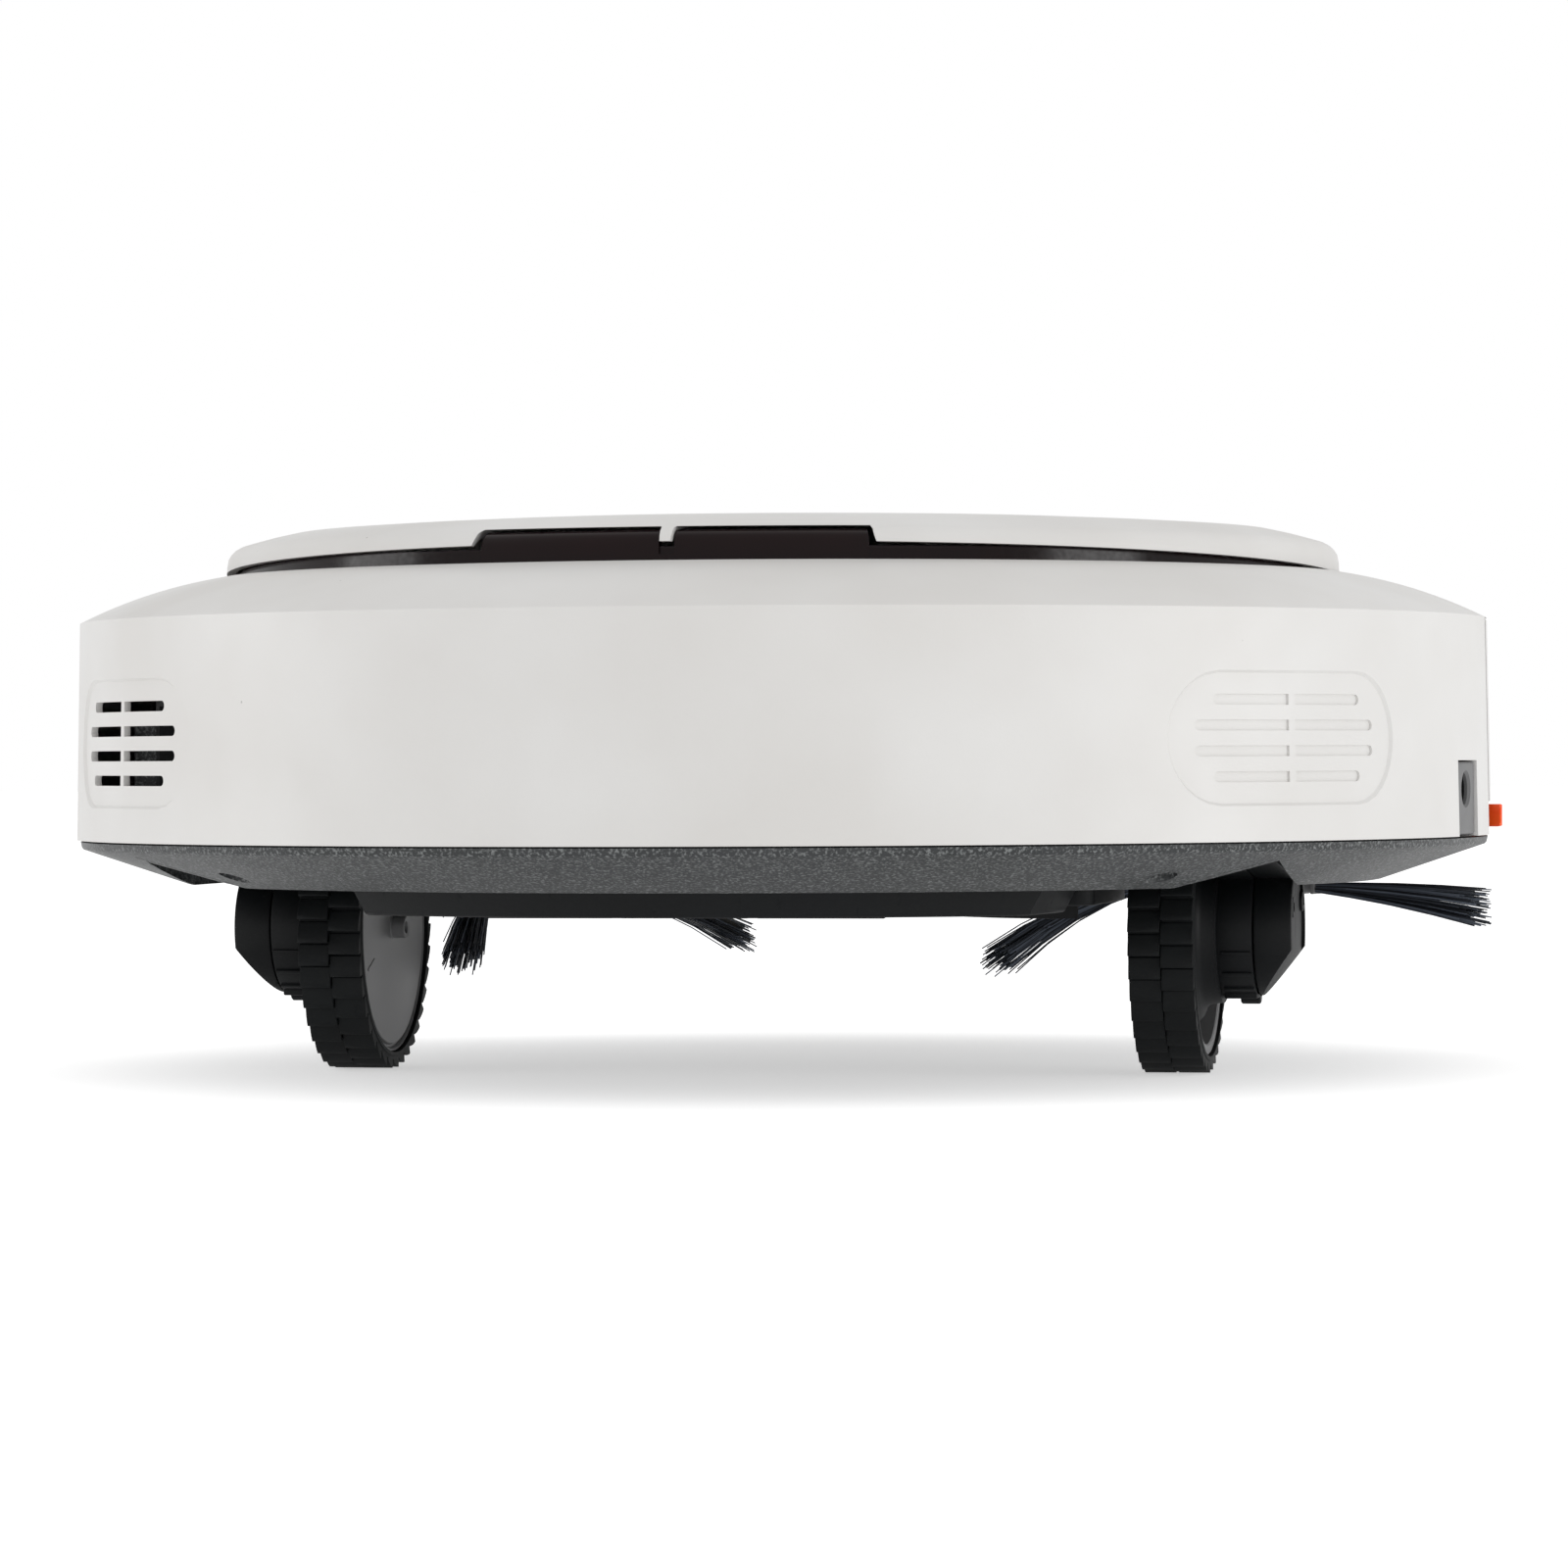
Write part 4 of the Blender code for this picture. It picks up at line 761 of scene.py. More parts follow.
def chassis(segments):
    """The black tray: conical flank, wheel wells, brush chamber, castor cup and screw holes."""
    b = BOTTOM_Z
    outline = [(0, b), (BOTTOM_R - 0.4, b), (BOTTOM_R + 0.4, b + 0.12), (163.5, -2.15),
               (163.9, -1.7), (164.2, -0.4), (160, -0.4), (160, 10), (158, 10), (158, -1.5),
               (138.3, b + 2.5), (0, b + 2.5)]
    bm = spun(outline, segments)
    foot = b + 1
    wells = [room for _, side in SIDES for room in well_room(side, 2.0, foot)]
    bm = carved(bm, *wells, block((-84, -62, foot), (84, -12, 26)),
                rod(23, foot, 14, centre=(0, CASTOR_Y), segments=64), how="UNION")
    bm = carved(bm, under_flank(segments))
    deep = b - 5
    tools = []
    for _, side in SIDES:
        tools += [*well_room(side, 0.0, deep),
                  mirrored(rod(4.3, deep, 0, centre=(SIDE_BRUSH_X, SIDE_BRUSH_Y)), side),
                  rod(3.5, -14, -4, centre=heading(side * SCREW_DEG, SCREW_R)),
                  mirrored(rod(PIN_HOLE_R, 126, 130, "X", (PIVOT_Y, PIVOT_Z), 24), side)]
    door = block((DOOR_X[0] - GAP, DOOR_Y[0] - GAP, deep), (DOOR_X[1] + GAP, DOOR_Y[1] + GAP, 0))
    tools += [block((-79, -60, deep), (79, -14, 24)),
              block((-30, -64, 4), (30, -59, 20)),
              rod(21, deep, 12, centre=(0, CASTOR_Y), segments=64),
              rod(3.5, 11, 16, centre=(0, CASTOR_Y), segments=24),
              door,
              socket_room(-0.1),
              block((150, 10.2, 0.2), (168, 24.2, 20))]
    for name in ("front", "left", "right"):
        x, y = (middle(f"floor_sensor_{name}", axis) for axis in (0, 1))
        tools.append(rod(5.3, -14, 0, centre=(x, y)))
    return carved(bm, *tools)


def rear_plate():
    """The smooth plate under the rear: drafted sides, a rolled lower edge and three ribs."""
    rear = [heading(-37 + 74 * k / 48, 127.5) for k in range(49)]
    front = [(80, -72), (78, -66.5), (-78, -66.5), (-80, -72)]
    bm = extruded(rear + front, -16.0, BOTTOM_Z - 0.3)
    low = [v for v in bm.verts if v.co.z < -15]
    for v in low:
        v.co += Vector((-v.co.x, -90 - v.co.y, 0)).normalized() * 2.4
    edges = [e for e in bm.edges if all(v.co.z < -15 for v in e.verts)]
    bmesh.ops.bevel(bm, geom=edges, offset=1.2, segments=4, profile=0.5, affect="EDGES",
                    material=-1)
    x, y = PLATE_SCREW
    tools = [rod(2.6, -18, -15.2, centre=place, segments=24) for place in ((-x, y), (x, y))]
    ribs = [block((x - 14, -112, -16.35), (x + 14, -110.6, -15.9), 0.2) for x in (-30, 0, 30)]
    return joined(carved(bm, *tools), *ribs)


def crossed_screw(radius, low, high, centre, recess):
    """A pan-head screw seen from below, with a cross recess."""
    outline = [(0, low), (radius * 0.55, low + 0.04 * radius), (radius * 0.9, low + 0.28 * radius),
               (radius, low + 0.5 * radius), (radius, low + 0.8 * radius),
               (radius * 0.45, low + 0.8 * radius), (radius * 0.45, high), (0, high)]
    bm = lathed(outline, 32, centre=centre)
    x, y = centre
    arm, slim = radius * 0.55, radius * 0.11
    return carved(bm, block((x - arm, y - slim, low - 1), (x + arm, y + slim, low + recess)),
                  block((x - slim, y - arm, low - 1), (x + slim, y + arm, low + recess)))


def battery_door():
    """The battery door: a flat cover with a finger recess, grip ribs and a rounded edge."""
    b = BOTTOM_Z
    bm = softened(extruded(rounded(*DOOR_X, *DOOR_Y, 2.5), b, b + 2.5), 0.4)
    pull = lathed([(0, b - 1), (11, b - 1), (9.5, b + 0.9), (0, b + 0.9)], 48,
                  centre=(0, DOOR_Y[1] - 16))
    holes = [rod(3.4, b - 1, b + 1.2, centre=(x, DOOR_Y[0] + 9))
             for x in (-DOOR_SCREW_X, DOOR_SCREW_X)]
    bm = carved(bm, pull, *holes)
    ribs = [block((-16, y, b - 0.35), (16, y + 1, b + 0.3), 0.15)
            for y in (DOOR_Y[0] + 22, DOOR_Y[0] + 26, DOOR_Y[0] + 30)]
    return joined(bm, *ribs)


# ---------------------------------------------------------------- socket and switch

def socket_face():
    """The grey socket insert: bevelled edges and a bore with a countersunk mouth."""
    face, back = -BODY_R + 0.9, -BODY_R + 12
    bm = block((-SOCKET_HALF, face, SOCKET_Z[0]), (SOCKET_HALF, back, SOCKET_Z[1]), 0.7, 3)
    r = SOCKET_HOLE_R
    outline = [(0, -BODY_R - 2), (r + 1.6, -BODY_R - 2), (r + 0.5, face + 0.02), (r, face + 0.6),
               (r, -BODY_R + 9), (0, -BODY_R + 9)]
    bore = lathed(outline, 48, "Y", (0, SOCKET_HOLE_Z))
    return turned(carved(bm, bore), radians(SOCKET_DEG), "Z")


def socket_inside():
    """The socket's black liner and its bright centre pin, inside the grey insert's bore."""
    outer, inner, end = SOCKET_HOLE_R - 0.05, SOCKET_HOLE_R - 0.6, -BODY_R + 8.9
    liner = [(inner, -BODY_R + 2.2), (outer, -BODY_R + 2.2), (outer, end), (inner, end)]
    pin = [(0, -BODY_R + 3.4), (0.6, -BODY_R + 3.7), (0.85, -BODY_R + 4.4), (0.85, end), (0, end)]
    return [turned(lathed(outline, segments, "Y", (0, SOCKET_HOLE_Z)), radians(SOCKET_DEG), "Z")
            for outline, segments in ((liner, 40), (pin, 24))]


def rocker():
    """The power switch: a waisted rocker with fine grip ribs, on an upright axis."""
    (x0, x1), (z0, z1) = reach("power_switch", 0), (v - LIFT for v in reach("power_switch", 2))
    y = middle("power_switch", 1)
    half = reach("power_switch", 1)[1] - y
    across = [half * k / 8 for k in range(-8, 9)]
    hollow = [(x1 - 1.2 * (1 - (v / half) ** 2), y + v) for v in across]
    bm = extruded([(x0, y - 1.6)] + hollow + [(x0, y + 1.6)], z0, z1)
    softened(bm, 0.3, 30)
    grooves = [block((x1 - 0.9, y + v - 0.15, z0 + 0.8), (x1 + 1, y + v + 0.15, z1 - 0.8))
               for v in (-2.9, 2.9)]
    return carved(bm, *grooves)


# ---------------------------------------------------------------- drive wheels

def toothed_ring(low, high, teeth, shift, inner, foot, tip):
    """One row of saw-tooth tread blocks round a wheel's axis, which lies along X."""
    pitch, rise = TAU / teeth, tip - foot
    tooth = ((0.0, foot - 0.4), (0.08, foot - 0.4), (0.13, foot + 0.2), (0.45, foot + 0.55 * rise),
             (0.75, foot + 0.86 * rise), (0.96, tip), (0.99, tip - 0.15))
    outline = []
    for k in range(teeth):
        a = (k + shift) * pitch
        for share, r in tooth:
            outline.append((r * cos(a + share * pitch), r * sin(a + share * pitch)))
    bm = bmesh.new()
    rim = [bm.verts.new((low, u, v)) for u, v in outline]
    edges = [bm.edges.new((rim[k - 1], rim[k])) for k in range(len(rim))]
    turns = [atan2(v, u) for u, v in outline]
    bore = [bm.verts.new((low, inner * cos(a), inner * sin(a))) for a in turns]
    edges += [bm.edges.new((bore[k - 1], bore[k])) for k in range(len(bore))]
    flat = bmesh.ops.bridge_loops(bm, edges=edges)["faces"]
    bmesh.ops.translate(bm, verts=pulled(bm, flat), vec=(high - low, 0, 0))
    return cleaned(bm)


def tyre(side, blocks, depth):
    """Two rows of tread blocks, staggered by half a block, with a slim groove between them."""
    x0, x1 = TYRE_X
    groove = (x0 + x1) / 2
    foot, bore = WHEEL_R - depth, 29.3
    rows = [toothed_ring(x0 + 0.25, groove - 0.12, blocks, 0.0, bore, foot, WHEEL_R),
            toothed_ring(groove + 0.12, x1 - 0.25, blocks, 0.5, bore, foot, WHEEL_R)]
    carcass = lathed([(bore, x0), (foot - 1.2, x0), (foot - 0.7, x0 + 0.5), (foot - 0.7, x1 - 0.5),
                      (foot - 1.2, x1), (bore, x1)], 96, "X")
    bm = joined(carcass, *[softened(row, 0.1, 50, 1) for row in rows])
    return mirrored(moved(bm, 0, WHEEL_Y, WHEEL_Z), side)


def wheel_hub(side):
    """The wheel's disc: a groove near its rim, a hollow boss, two marks, ribs on its far side."""
    x = TYRE_X[0] + 0.8
    outline = [(0, x - 2.2), (1.3, x - 2.2), (1.5, x - 3.2), (2.4, x - 3.4), (2.6, x - 3.2),
               (2.6, x - 0.3), (2.9, x), (27.1, x + 0.05), (27.3, x + 0.2), (27.5, x + 0.9),
               (28.1, x + 0.9), (28.3, x + 0.2), (28.5, x), (29, x + 0.1), (29, TYRE_X[1] - 1),
               (28.7, TYRE_X[1] - 0.7), (26.9, TYRE_X[1] - 0.7), (26.5, TYRE_X[1] - 1),
               (26.2, x + 3.4), (6, x + 3.2), (6, x + 8.6), (3.3, x + 8.6), (3.3, x + 2),
               (0, x + 2)]
    bm = lathed(outline, 96, "X")
    ribs = [turned(block((x + 2.5, 5.5, -0.6), (x + 6.5, 26.6, 0.6), 0.2), k * TAU / 6, "X")
            for k in range(6)]
    marks = [turned(block((x - 0.12, 18, -0.25), (x + 0.5, 24, 0.25)), a, "X")
             for a in (0.4, 0.4 + pi)]
    bm = joined(bm, *ribs, *marks)
    return mirrored(moved(bm, 0, WHEEL_Y, WHEEL_Z), side)


def outer_tangent(a, b, way):
    """The normal's angle of the outer tangent of two (y, z, radius) circles, in degrees."""
    run = (b[0] - a[0], b[1] - a[1])
    lean = degrees(acos((a[2] - b[2]) / hypot(*run)))
    return degrees(atan2(run[1], run[0])) + way * lean


def arm_outline(shrink=0.0):
    """The gearbox from the side: a drum round the wheel axis, a high shoulder, a pivot boss."""
    drum = (WHEEL_Y, WHEEL_Z, DRUM_R - shrink)
    shoulder = (SHOULDER[0], SHOULDER[1], SHOULDER[2] - shrink)
    boss = (PIVOT_Y, PIVOT_Z, PIVOT_BOSS_R - shrink)
    front = outer_tangent(drum, shoulder, -1)
    top = outer_tangent(shoulder, boss, -1)
    under = outer_tangent(shoulder, boss, 1)
    low = arc(*boss, under, under, 1)[0]
    way = Vector((-sin(radians(under)), cos(radians(under))))
    offset = Vector(low) - Vector(drum[:2])
    along = offset.dot(way)
    corner = offset + way * (-along - sqrt(along ** 2 - offset.length_squared + drum[2] ** 2))
    start = degrees(atan2(corner.y, corner.x))
    return (arc(*drum, start, 360 + front, 48) + arc(*shoulder, front, top, 6)
            + arc(*boss, top, under, 18))


def gearbox_case(side):
    """The inner half of the gearbox: arm, rimmed flange disc, flat sole with a post, ribs."""
    x0, x1 = CASE_X
    axle = (WHEEL_Y, WHEEL_Z)
    arm = softened(extruded(arm_outline(), x0, x1, "X"), 0.35)
    r = AXLE_HOLE_R
    flange = lathed([(r, 99), (19.6, 99), (20.2, 99.3), (21, 100.0), (21, 100.9), (20.4, 101.5),
                     (18.4, 102.2), (17.4, 103.4), (17.0, x0 + 0.5), (r, x0 + 0.5)], 96, "X", axle)
    collar = lathed([(r, 98.6), (9, 98.6), (9.4, 98.9), (9.4, 99.3), (r, 99.3)], 48, "X", axle)
    foot_z = WHEEL_Z - DRUM_R - 0.4
    sole = block((x0 + 1, WHEEL_Y - 5, foot_z), (x1, WHEEL_Y + 6, foot_z + 4), 0.35)
    post = rod(2.2, x1 - 4.5, x1, "X", (WHEEL_Y + 3, foot_z + 0.7), 24, chamfer=0.3)
    ribs = []
    for a in (200, 220, 240):
        rib = block((x0 + 1.4, DRUM_R - 0.9, -0.5), (x1 - 0.3, DRUM_R + 0.5, 0.5), 0.15)
        ribs.append(moved(turned(rib, radians(a), "X"), 0, *axle))
    arm = carved(arm, rod(r, 90, 118, "X", axle),
                 rod(PIN_HOLE_R, 112, 118, "X", (PIVOT_Y, PIVOT_Z), 24))
    return mirrored(joined(arm, flange, collar, sole, post, *ribs), side)


def gearbox_cover(side):
    """The outer half: chamfered low down, a raised rim on its face, three screw heads."""
    x0, x1 = COVER_X
    bm = softened(extruded(arm_outline(0.2), x0, x1, "X"), 0.5)
    chamfer = [(x1 + 2, -22.6), (x1 - 11.4, -41), (x1 + 2, -41)]
    bm = carved(bm, extruded(chamfer, -60, 20, "Y"),
                rod(PIN_HOLE_R, 110, 130, "X", (PIVOT_Y, PIVOT_Z), 24),
                extruded(arm_outline(2.2), x1 - 0.6, x1 + 2, "X"))
    places = ((WHEEL_Y + 10, WHEEL_Z + 6), (WHEEL_Y - 10, WHEEL_Z + 5), (PIVOT_Y + 22, -1.5))
    heads = [rod(2.4, x1 - 1.2, x1 + 0.1, "X", place, 24, bore=1.2, chamfer=0.2)
             for place in places]
    return mirrored(joined(bm, *heads), side)


def torsion_spring(side):
    """The arm's spring: three turns of wire round the pivot pin."""
    wire, coil = 0.42, 5.9
    low, high = SPRING_X[0] + wire, SPRING_X[1] - wire
    bm = bmesh.new()
    ring = bmesh.ops.create_circle(bm, segments=10, radius=wire)["verts"]
    moved(turned(bm, pi / 2, "X"), coil)
    steps, turns = 108, 3
    bmesh.ops.spin(bm, geom=ring + bm.edges[:], cent=(0, 0, 0), axis=(0, 0, 1),
                   dvec=(0, 0, (high - low) / steps), angle=turns * TAU, steps=steps,
                   use_merge=False, use_duplicate=False)
    bmesh.ops.holes_fill(bm, edges=[e for e in bm.edges if e.is_boundary], sides=0)
    cleaned(bm)
    turned(bm, pi / 2, "Y")
    return mirrored(moved(bm, low, PIVOT_Y, PIVOT_Z), side)


def drive_motor(side):
    """A small can motor: rolled shoulders, a bearing boss and a crimped groove."""
    x0, x1 = reach("drive_motor_right", 0)
    outline = [(0, x0), (3.0, x0), (3.2, x0 + 0.9), (9.8, x0 + 1.0), (11.0, x0 + 1.5),
               (11.5, x0 + 2.4), (11.5, x1 - 4), (11.2, x1 - 3.8), (11.2, x1 - 3.4),
               (11.5, x1 - 3.2), (11.5, x1 - 0.4), (11.1, x1), (0, x1)]
    return mirrored(lathed(outline, 64, "X", (PIVOT_Y, PIVOT_Z)), side)


# ---------------------------------------------------------------- brushes and castor

def brush_hub(side, angles):
    """The side brush's hub: a domed cap with a screw well and three tapering, clamped arms."""
    b = BOTTOM_Z
    outline = [(0, b - 5.4), (3.2, b - 5.4), (3.4, b - 6.3), (8.4, b - 6.1), (10.6, b - 5.5),
               (12, b - 4.6), (12, b - 1.3), (11.6, b - 1.1), (4, b - 0.9), (4, b + 3.9),
               (0, b + 3.9)]
    bm = lathed(outline, 64)
    arms = []
    for a in angles:
        arm = block((8, -3, b - 5.0), (27, 3, b - 2.2), 0.9, 3)
        for v in arm.verts:
            v.co.y *= 1 - 0.28 * (v.co.x - 8) / 19
        clamps = [block((x, -2.9, b - 5.3), (x + 1.1, 2.9, b - 1.95), 0.3)
                  for x in (19.5, 22.5, 25.5)]
        arms.append(turned(joined(arm, *clamps), radians(a), "Z"))
    return moved(joined(bm, *arms), side * SIDE_BRUSH_X, SIDE_BRUSH_Y, 0)


def filament(start, end, droop, width, tone_and_sheen, layer, into):
    """One bent nylon strand: three sides, four joints and a blunt tip."""
    ring = bmesh.ops.create_circle(into, segments=3, radius=width)["verts"]
    run = Vector(end) - Vector(start)
    spin = run.to_track_quat("Z", "Y").to_matrix()
    bmesh.ops.rotate(into, verts=ring, cent=(0, 0, 0), matrix=spin)
    bmesh.ops.translate(into, verts=ring, vec=start)
    edges = list({e for v in ring for e in v.link_edges})
    for v in ring:
        # Each strand's random lightness is partly its own tone and partly a painted sheen
        v[layer] = tone_and_sheen
    joints = 4
    for k in range(joints):
        t0, t1 = k / joints, (k + 1) / joints
        step = run / joints + Vector((0, 0, -droop * (t1 ** 2 - t0 ** 2)))
        grown = bmesh.ops.extrude_edge_only(into, edges=edges)["geom"]
        verts = [g for g in grown if isinstance(g, bmesh.types.BMVert)]
        edges = [g for g in grown if isinstance(g, bmesh.types.BMEdge)]
        bmesh.ops.translate(into, verts=verts, vec=step)
        for v in verts:
            v[layer] = tone_and_sheen
    bmesh.ops.holes_fill(into, edges=edges, sides=0)


def brush_tufts(side, angles, droops, count, seed):
    """The three tufts of a side brush: strands that fan out and bend down to ragged ends."""
    draw = Random(seed)
    bm = bmesh.new()
    layer = bm.verts.layers.float.new("strand")
    b = BOTTOM_Z
    for a, (drop, rise) in zip(angles, droops):
        out = Matrix.Rotation(radians(a), 3, "Z")
        for _ in range(count):
            v, w = draw.uniform(-1, 1), draw.uniform(-1, 1)
            far = draw.uniform(65.5, 71.0) - 1.5 * abs(v)
            start = out @ Vector((24.5, 1.9 * v, b - 3.7 + 0.9 * w))
            tip_z = b - 4.6 + rise * w - drop * 0.35 + draw.uniform(-0.5, 0.5)
            end = out @ Vector((far, 4.9 * v + draw.uniform(-0.6, 0.6), tip_z))
            filament(start, end, drop * draw.uniform(0.55, 0.75), 0.19, draw.random() ** 2, layer,
                     bm)
    bm = joined(bm, rod(3.0, b - 7.9, b - 6.2, segments=24, chamfer=0.3))
    bmesh.ops.recalc_face_normals(bm, faces=bm.faces)
    return moved(bm, side * SIDE_BRUSH_X, SIDE_BRUSH_Y, 0)


def main_brush():
    """The main brush: a core on two stub axles, and two twisted rubber blades."""
    half, steps = BRUSH_HALF, 36
    core = lathed([(0, -half - 2.4), (2.5, -half - 2.4), (2.5, -half), (8.2, -half),
                   (8.6, -half + 0.6), (8.6, half - 0.6), (8.2, half), (2.5, half),
                   (2.5, half + 2.4), (0, half + 2.4)], 48, "X")
    blades = []
    for k in (0, 2):
        bm = bmesh.new()
        corners = [(7.5, -1.4), (BRUSH_R, -0.5), (BRUSH_R, 0.5), (7.5, 1.4)]
        face = bm.faces.new([bm.verts.new((-half + 1, u, v)) for u, v in corners])
        turned(bm, k * pi / 2, "X")
        geom = bm.verts[:] + bm.edges[:] + [face]
        bmesh.ops.spin(bm, geom=geom, cent=(0, 0, 0), axis=(1, 0, 0), angle=radians(TWIST_DEG),
                       dvec=((2 * half - 2) / steps, 0, 0), steps=steps, use_merge=False,
                       use_duplicate=False)
        blades.append(cleaned(bm))
    return moved(joined(core, *blades), 0, BRUSH_Y, BRUSH_Z)


def main_brush_bristles():
    """Short splayed tufts in two twisted rows between the rubber blades."""
    draw, tufts = Random(5), 44
    bm = bmesh.new()
    layer = bm.verts.layers.float.new("strand")
    for k in (1, 3):
        for n in range(tufts):
            share = (n + 0.5) / tufts
            x = -BRUSH_HALF + 2 + share * (2 * BRUSH_HALF - 4)
            turn = Matrix.Rotation(k * pi / 2 + radians(TWIST_DEG) * share, 3, "X")
            for _ in range(9):
                du, dv = draw.uniform(-0.8, 0.8), draw.uniform(-0.8, 0.8)
                start = Vector((x + 0.4 * du, 0, 0)) + turn @ Vector((0, 8.2, 0.4 * dv))
                far = draw.uniform(18.4, 19.4)
                end = Vector((x + 1.7 * du, 0, 0)) + turn @ Vector((0, far, 1.7 * dv))
                filament(start, end, 0.0, 0.17, draw.random() ** 2, layer, bm)
    bmesh.ops.recalc_face_normals(bm, faces=bm.faces)
    return moved(bm, 0, BRUSH_Y, BRUSH_Z)


def brush_guard():
    """The frame round the suction mouth: a rounded rim with two clips and four cross bars."""
    top, low = BOTTOM_Z - GAP, -14.8
    bm = softened(extruded(rounded(-82.5, 82.5, -65, -10, 4), low, top), 0.7,
                  where=lambda e: all(v.co.z < top - 0.1 for v in e.verts))
    bm = carved(bm, extruded(rounded(-77, 77, -58.5, -15.5, 3), low - 3, top + 3))
    clips = [block((x - 5, -64, low - 0.3), (x + 5, -60, low + 1), 0.3) for x in (-45, 45)]
    bars = [block((x - 0.8, -59, low + 0.1), (x + 0.8, -15, low + 1.1), 0.2)
            for x in (-51, -17, 17, 51)]
    return joined(bm, *clips, *bars)


def castor_fork():
    """The castor's turning fork: a grooved drum with a stem and the wheel's slot."""
    outline = [(0, -13), (17.2, -13), (18.3, -12.7), (19, -11.7), (19, -4), (18.5, -3.6),
               (18.5, -2.8), (19, -2.4), (19, 8), (3.2, 8), (3.2, 19), (0, 19)]
    y, z = CASTOR_AXLE
    room = 12.7
    slot = block((-7.2, y - room, -20), (7.2, y + room, z + room + 0.3))
    return carved(lathed(outline, 96, centre=(0, CASTOR_Y)), slot,
                  rod(1.8, -12.5, 12.5, "X", CASTOR_AXLE, 24))


def castor_wheel():
    """The castor's roller: a crowned tread between two shouldered cheeks."""
    half = [(1.8, -6.6), (5, -6.6), (5.3, -6.1), (8.5, -6.1), (8.8, -6.6), (10.6, -6.5),
            (11.5, -5.6), (11.9, -3.5)]
    outline = half + [(12, 0)] + [(r, -x) for r, x in half[::-1]]
    return lathed(outline, 72, "X", CASTOR_AXLE)


# ---------------------------------------------------------------- stage

def floor_and_backdrop():
    """A wide pale floor that glows a little to stay near white, and is clear from below."""
    bm = bmesh.new()
    bmesh.ops.create_grid(bm, x_segments=8, y_segments=8, size=12.0)
    mesh = bpy.data.meshes.new("floor")
    bm.to_mesh(mesh)
    bm.free()
    made, tree, shader, place = started("floor_pale_matt", Specular_IOR_Level=0.0)
    cloud = add(tree, "TexNoise", {"Vector": place, "Scale": 0.7}).outputs["Fac"]
    tree.links.new(blend(tree, cloud, "F2F2F2", "EEEEEE"), shader.inputs["Base Color"])
    shader.inputs["Roughness"].default_value = 0.9
    shader.inputs["Emission Color"].default_value = (1, 1, 1, 1)
    seen = add(tree, "LightPath", {}).outputs["Is Camera Ray"]
    tree.links.new(span(tree, seen, 0.0, 1.0, 0.26, 0.52), shader.inputs["Emission Strength"])
    clear = add(tree, "BsdfTransparent", {}).outputs[0]
    behind = add(tree, "NewGeometry", {}).outputs["Backfacing"]
    shown = add(tree, "MixShader", {0: behind, 1: shader.outputs[0], 2: clear}).outputs[0]
    output = next(node for node in tree.nodes if node.type == "OUTPUT_MATERIAL")
    tree.links.new(shown, output.inputs["Surface"])
    mesh.materials.append(made)
    floor = bpy.data.objects.new("floor", mesh)
    bpy.context.scene.collection.objects.link(floor)
    floor.location.z = -0.0002


def soft_box(name, place, power):
    """A square lamp 0.9 m wide that faces the robot."""
    lamp = bpy.data.lights.new(name, "AREA")
    lamp.shape = "SQUARE"
    lamp.size = 0.9
    lamp.energy = power
    made = bpy.data.objects.new(name, lamp)
    made.location = place
    made.rotation_mode = "QUATERNION"
    made.rotation_quaternion = (Vector((0, 0, 0.08)) - Vector(place)).to_track_quat("-Z", "Y")
    bpy.context.scene.collection.objects.link(made)


def studio_world(strength):
    """Even pale light all round, and a white background."""
    world = bpy.data.worlds.new("studio")
    world.use_nodes = True
    tree = world.node_tree
    tree.nodes.clear()
    seen = add(tree, "LightPath", {}).outputs["Is Camera Ray"]
    level = add(tree, "MapRange", {"Value": seen, "To Min": strength, "To Max": 1.0})
    light = add(tree, "Background", {"Color": (1, 1, 1, 1), "Strength": level.outputs["Result"]})
    add(tree, "OutputWorld", {"Surface": light.outputs["Background"]})
    bpy.context.scene.world = world


def camera(lens):
    """A long lens low behind the robot, turned 11.2 degrees to its left."""
    place, yaw, pitch, roll = Vector((0.2677, -1.352, 0.07214)), radians(11.2), 0.0044, -0.0045
    ahead = Vector((-sin(yaw), cos(yaw), -pitch)).normalized()
    right = ahead.cross(Vector((0, 0, 1))).normalized()
    up = right.cross(ahead)
    across = cos(roll) * right + sin(roll) * up
    high = -sin(roll) * right + cos(roll) * up
    view = bpy.data.cameras.new("camera")
    view.lens = lens
    view.sensor_width = 36.0
    view.clip_start, view.clip_end = 0.05, 50.0
    made = bpy.data.objects.new("camera", view)
    made.rotation_mode = "QUATERNION"
    made.rotation_quaternion = Matrix((across, high, -ahead)).transposed().to_quaternion()
    made.location = place
    bpy.context.scene.collection.objects.link(made)
    bpy.context.scene.camera = made


# ---------------------------------------------------------------- settings

class VacuumSizes(bpy.types.PropertyGroup):
    """Sizes and counts that shape the pieces."""
    casing_steps: bpy.props.IntProperty(
        name="Casing steps", description="Flat steps round the casing and the lid",
        default=288, min=48, max=720)
    tread_blocks: bpy.props.IntProperty(
        name="Tread blocks", description="Blocks in each of a tyre's two rows",
        default=38, min=12, max=80)
    tread_depth: bpy.props.FloatProperty(
        name="Tread depth", description="Height of a tread block's high end over its foot",
        default=0.0017, min=0.0005, max=0.003, unit="LENGTH", subtype="DISTANCE", precision=4)
    strands: bpy.props.IntProperty(
        name="Strands", description="Nylon strands in each tuft of a side brush",
        default=130, min=10, max=400)
    lens: bpy.props.FloatProperty(
        name="Lens", description="Focal length of the camera",
        default=134.64, min=20, max=300, unit="CAMERA")
    glow: bpy.props.FloatProperty(
        name="Surrounding light", description="Strength of the even light all round",
        default=0.8, min=0.0, max=3.0)


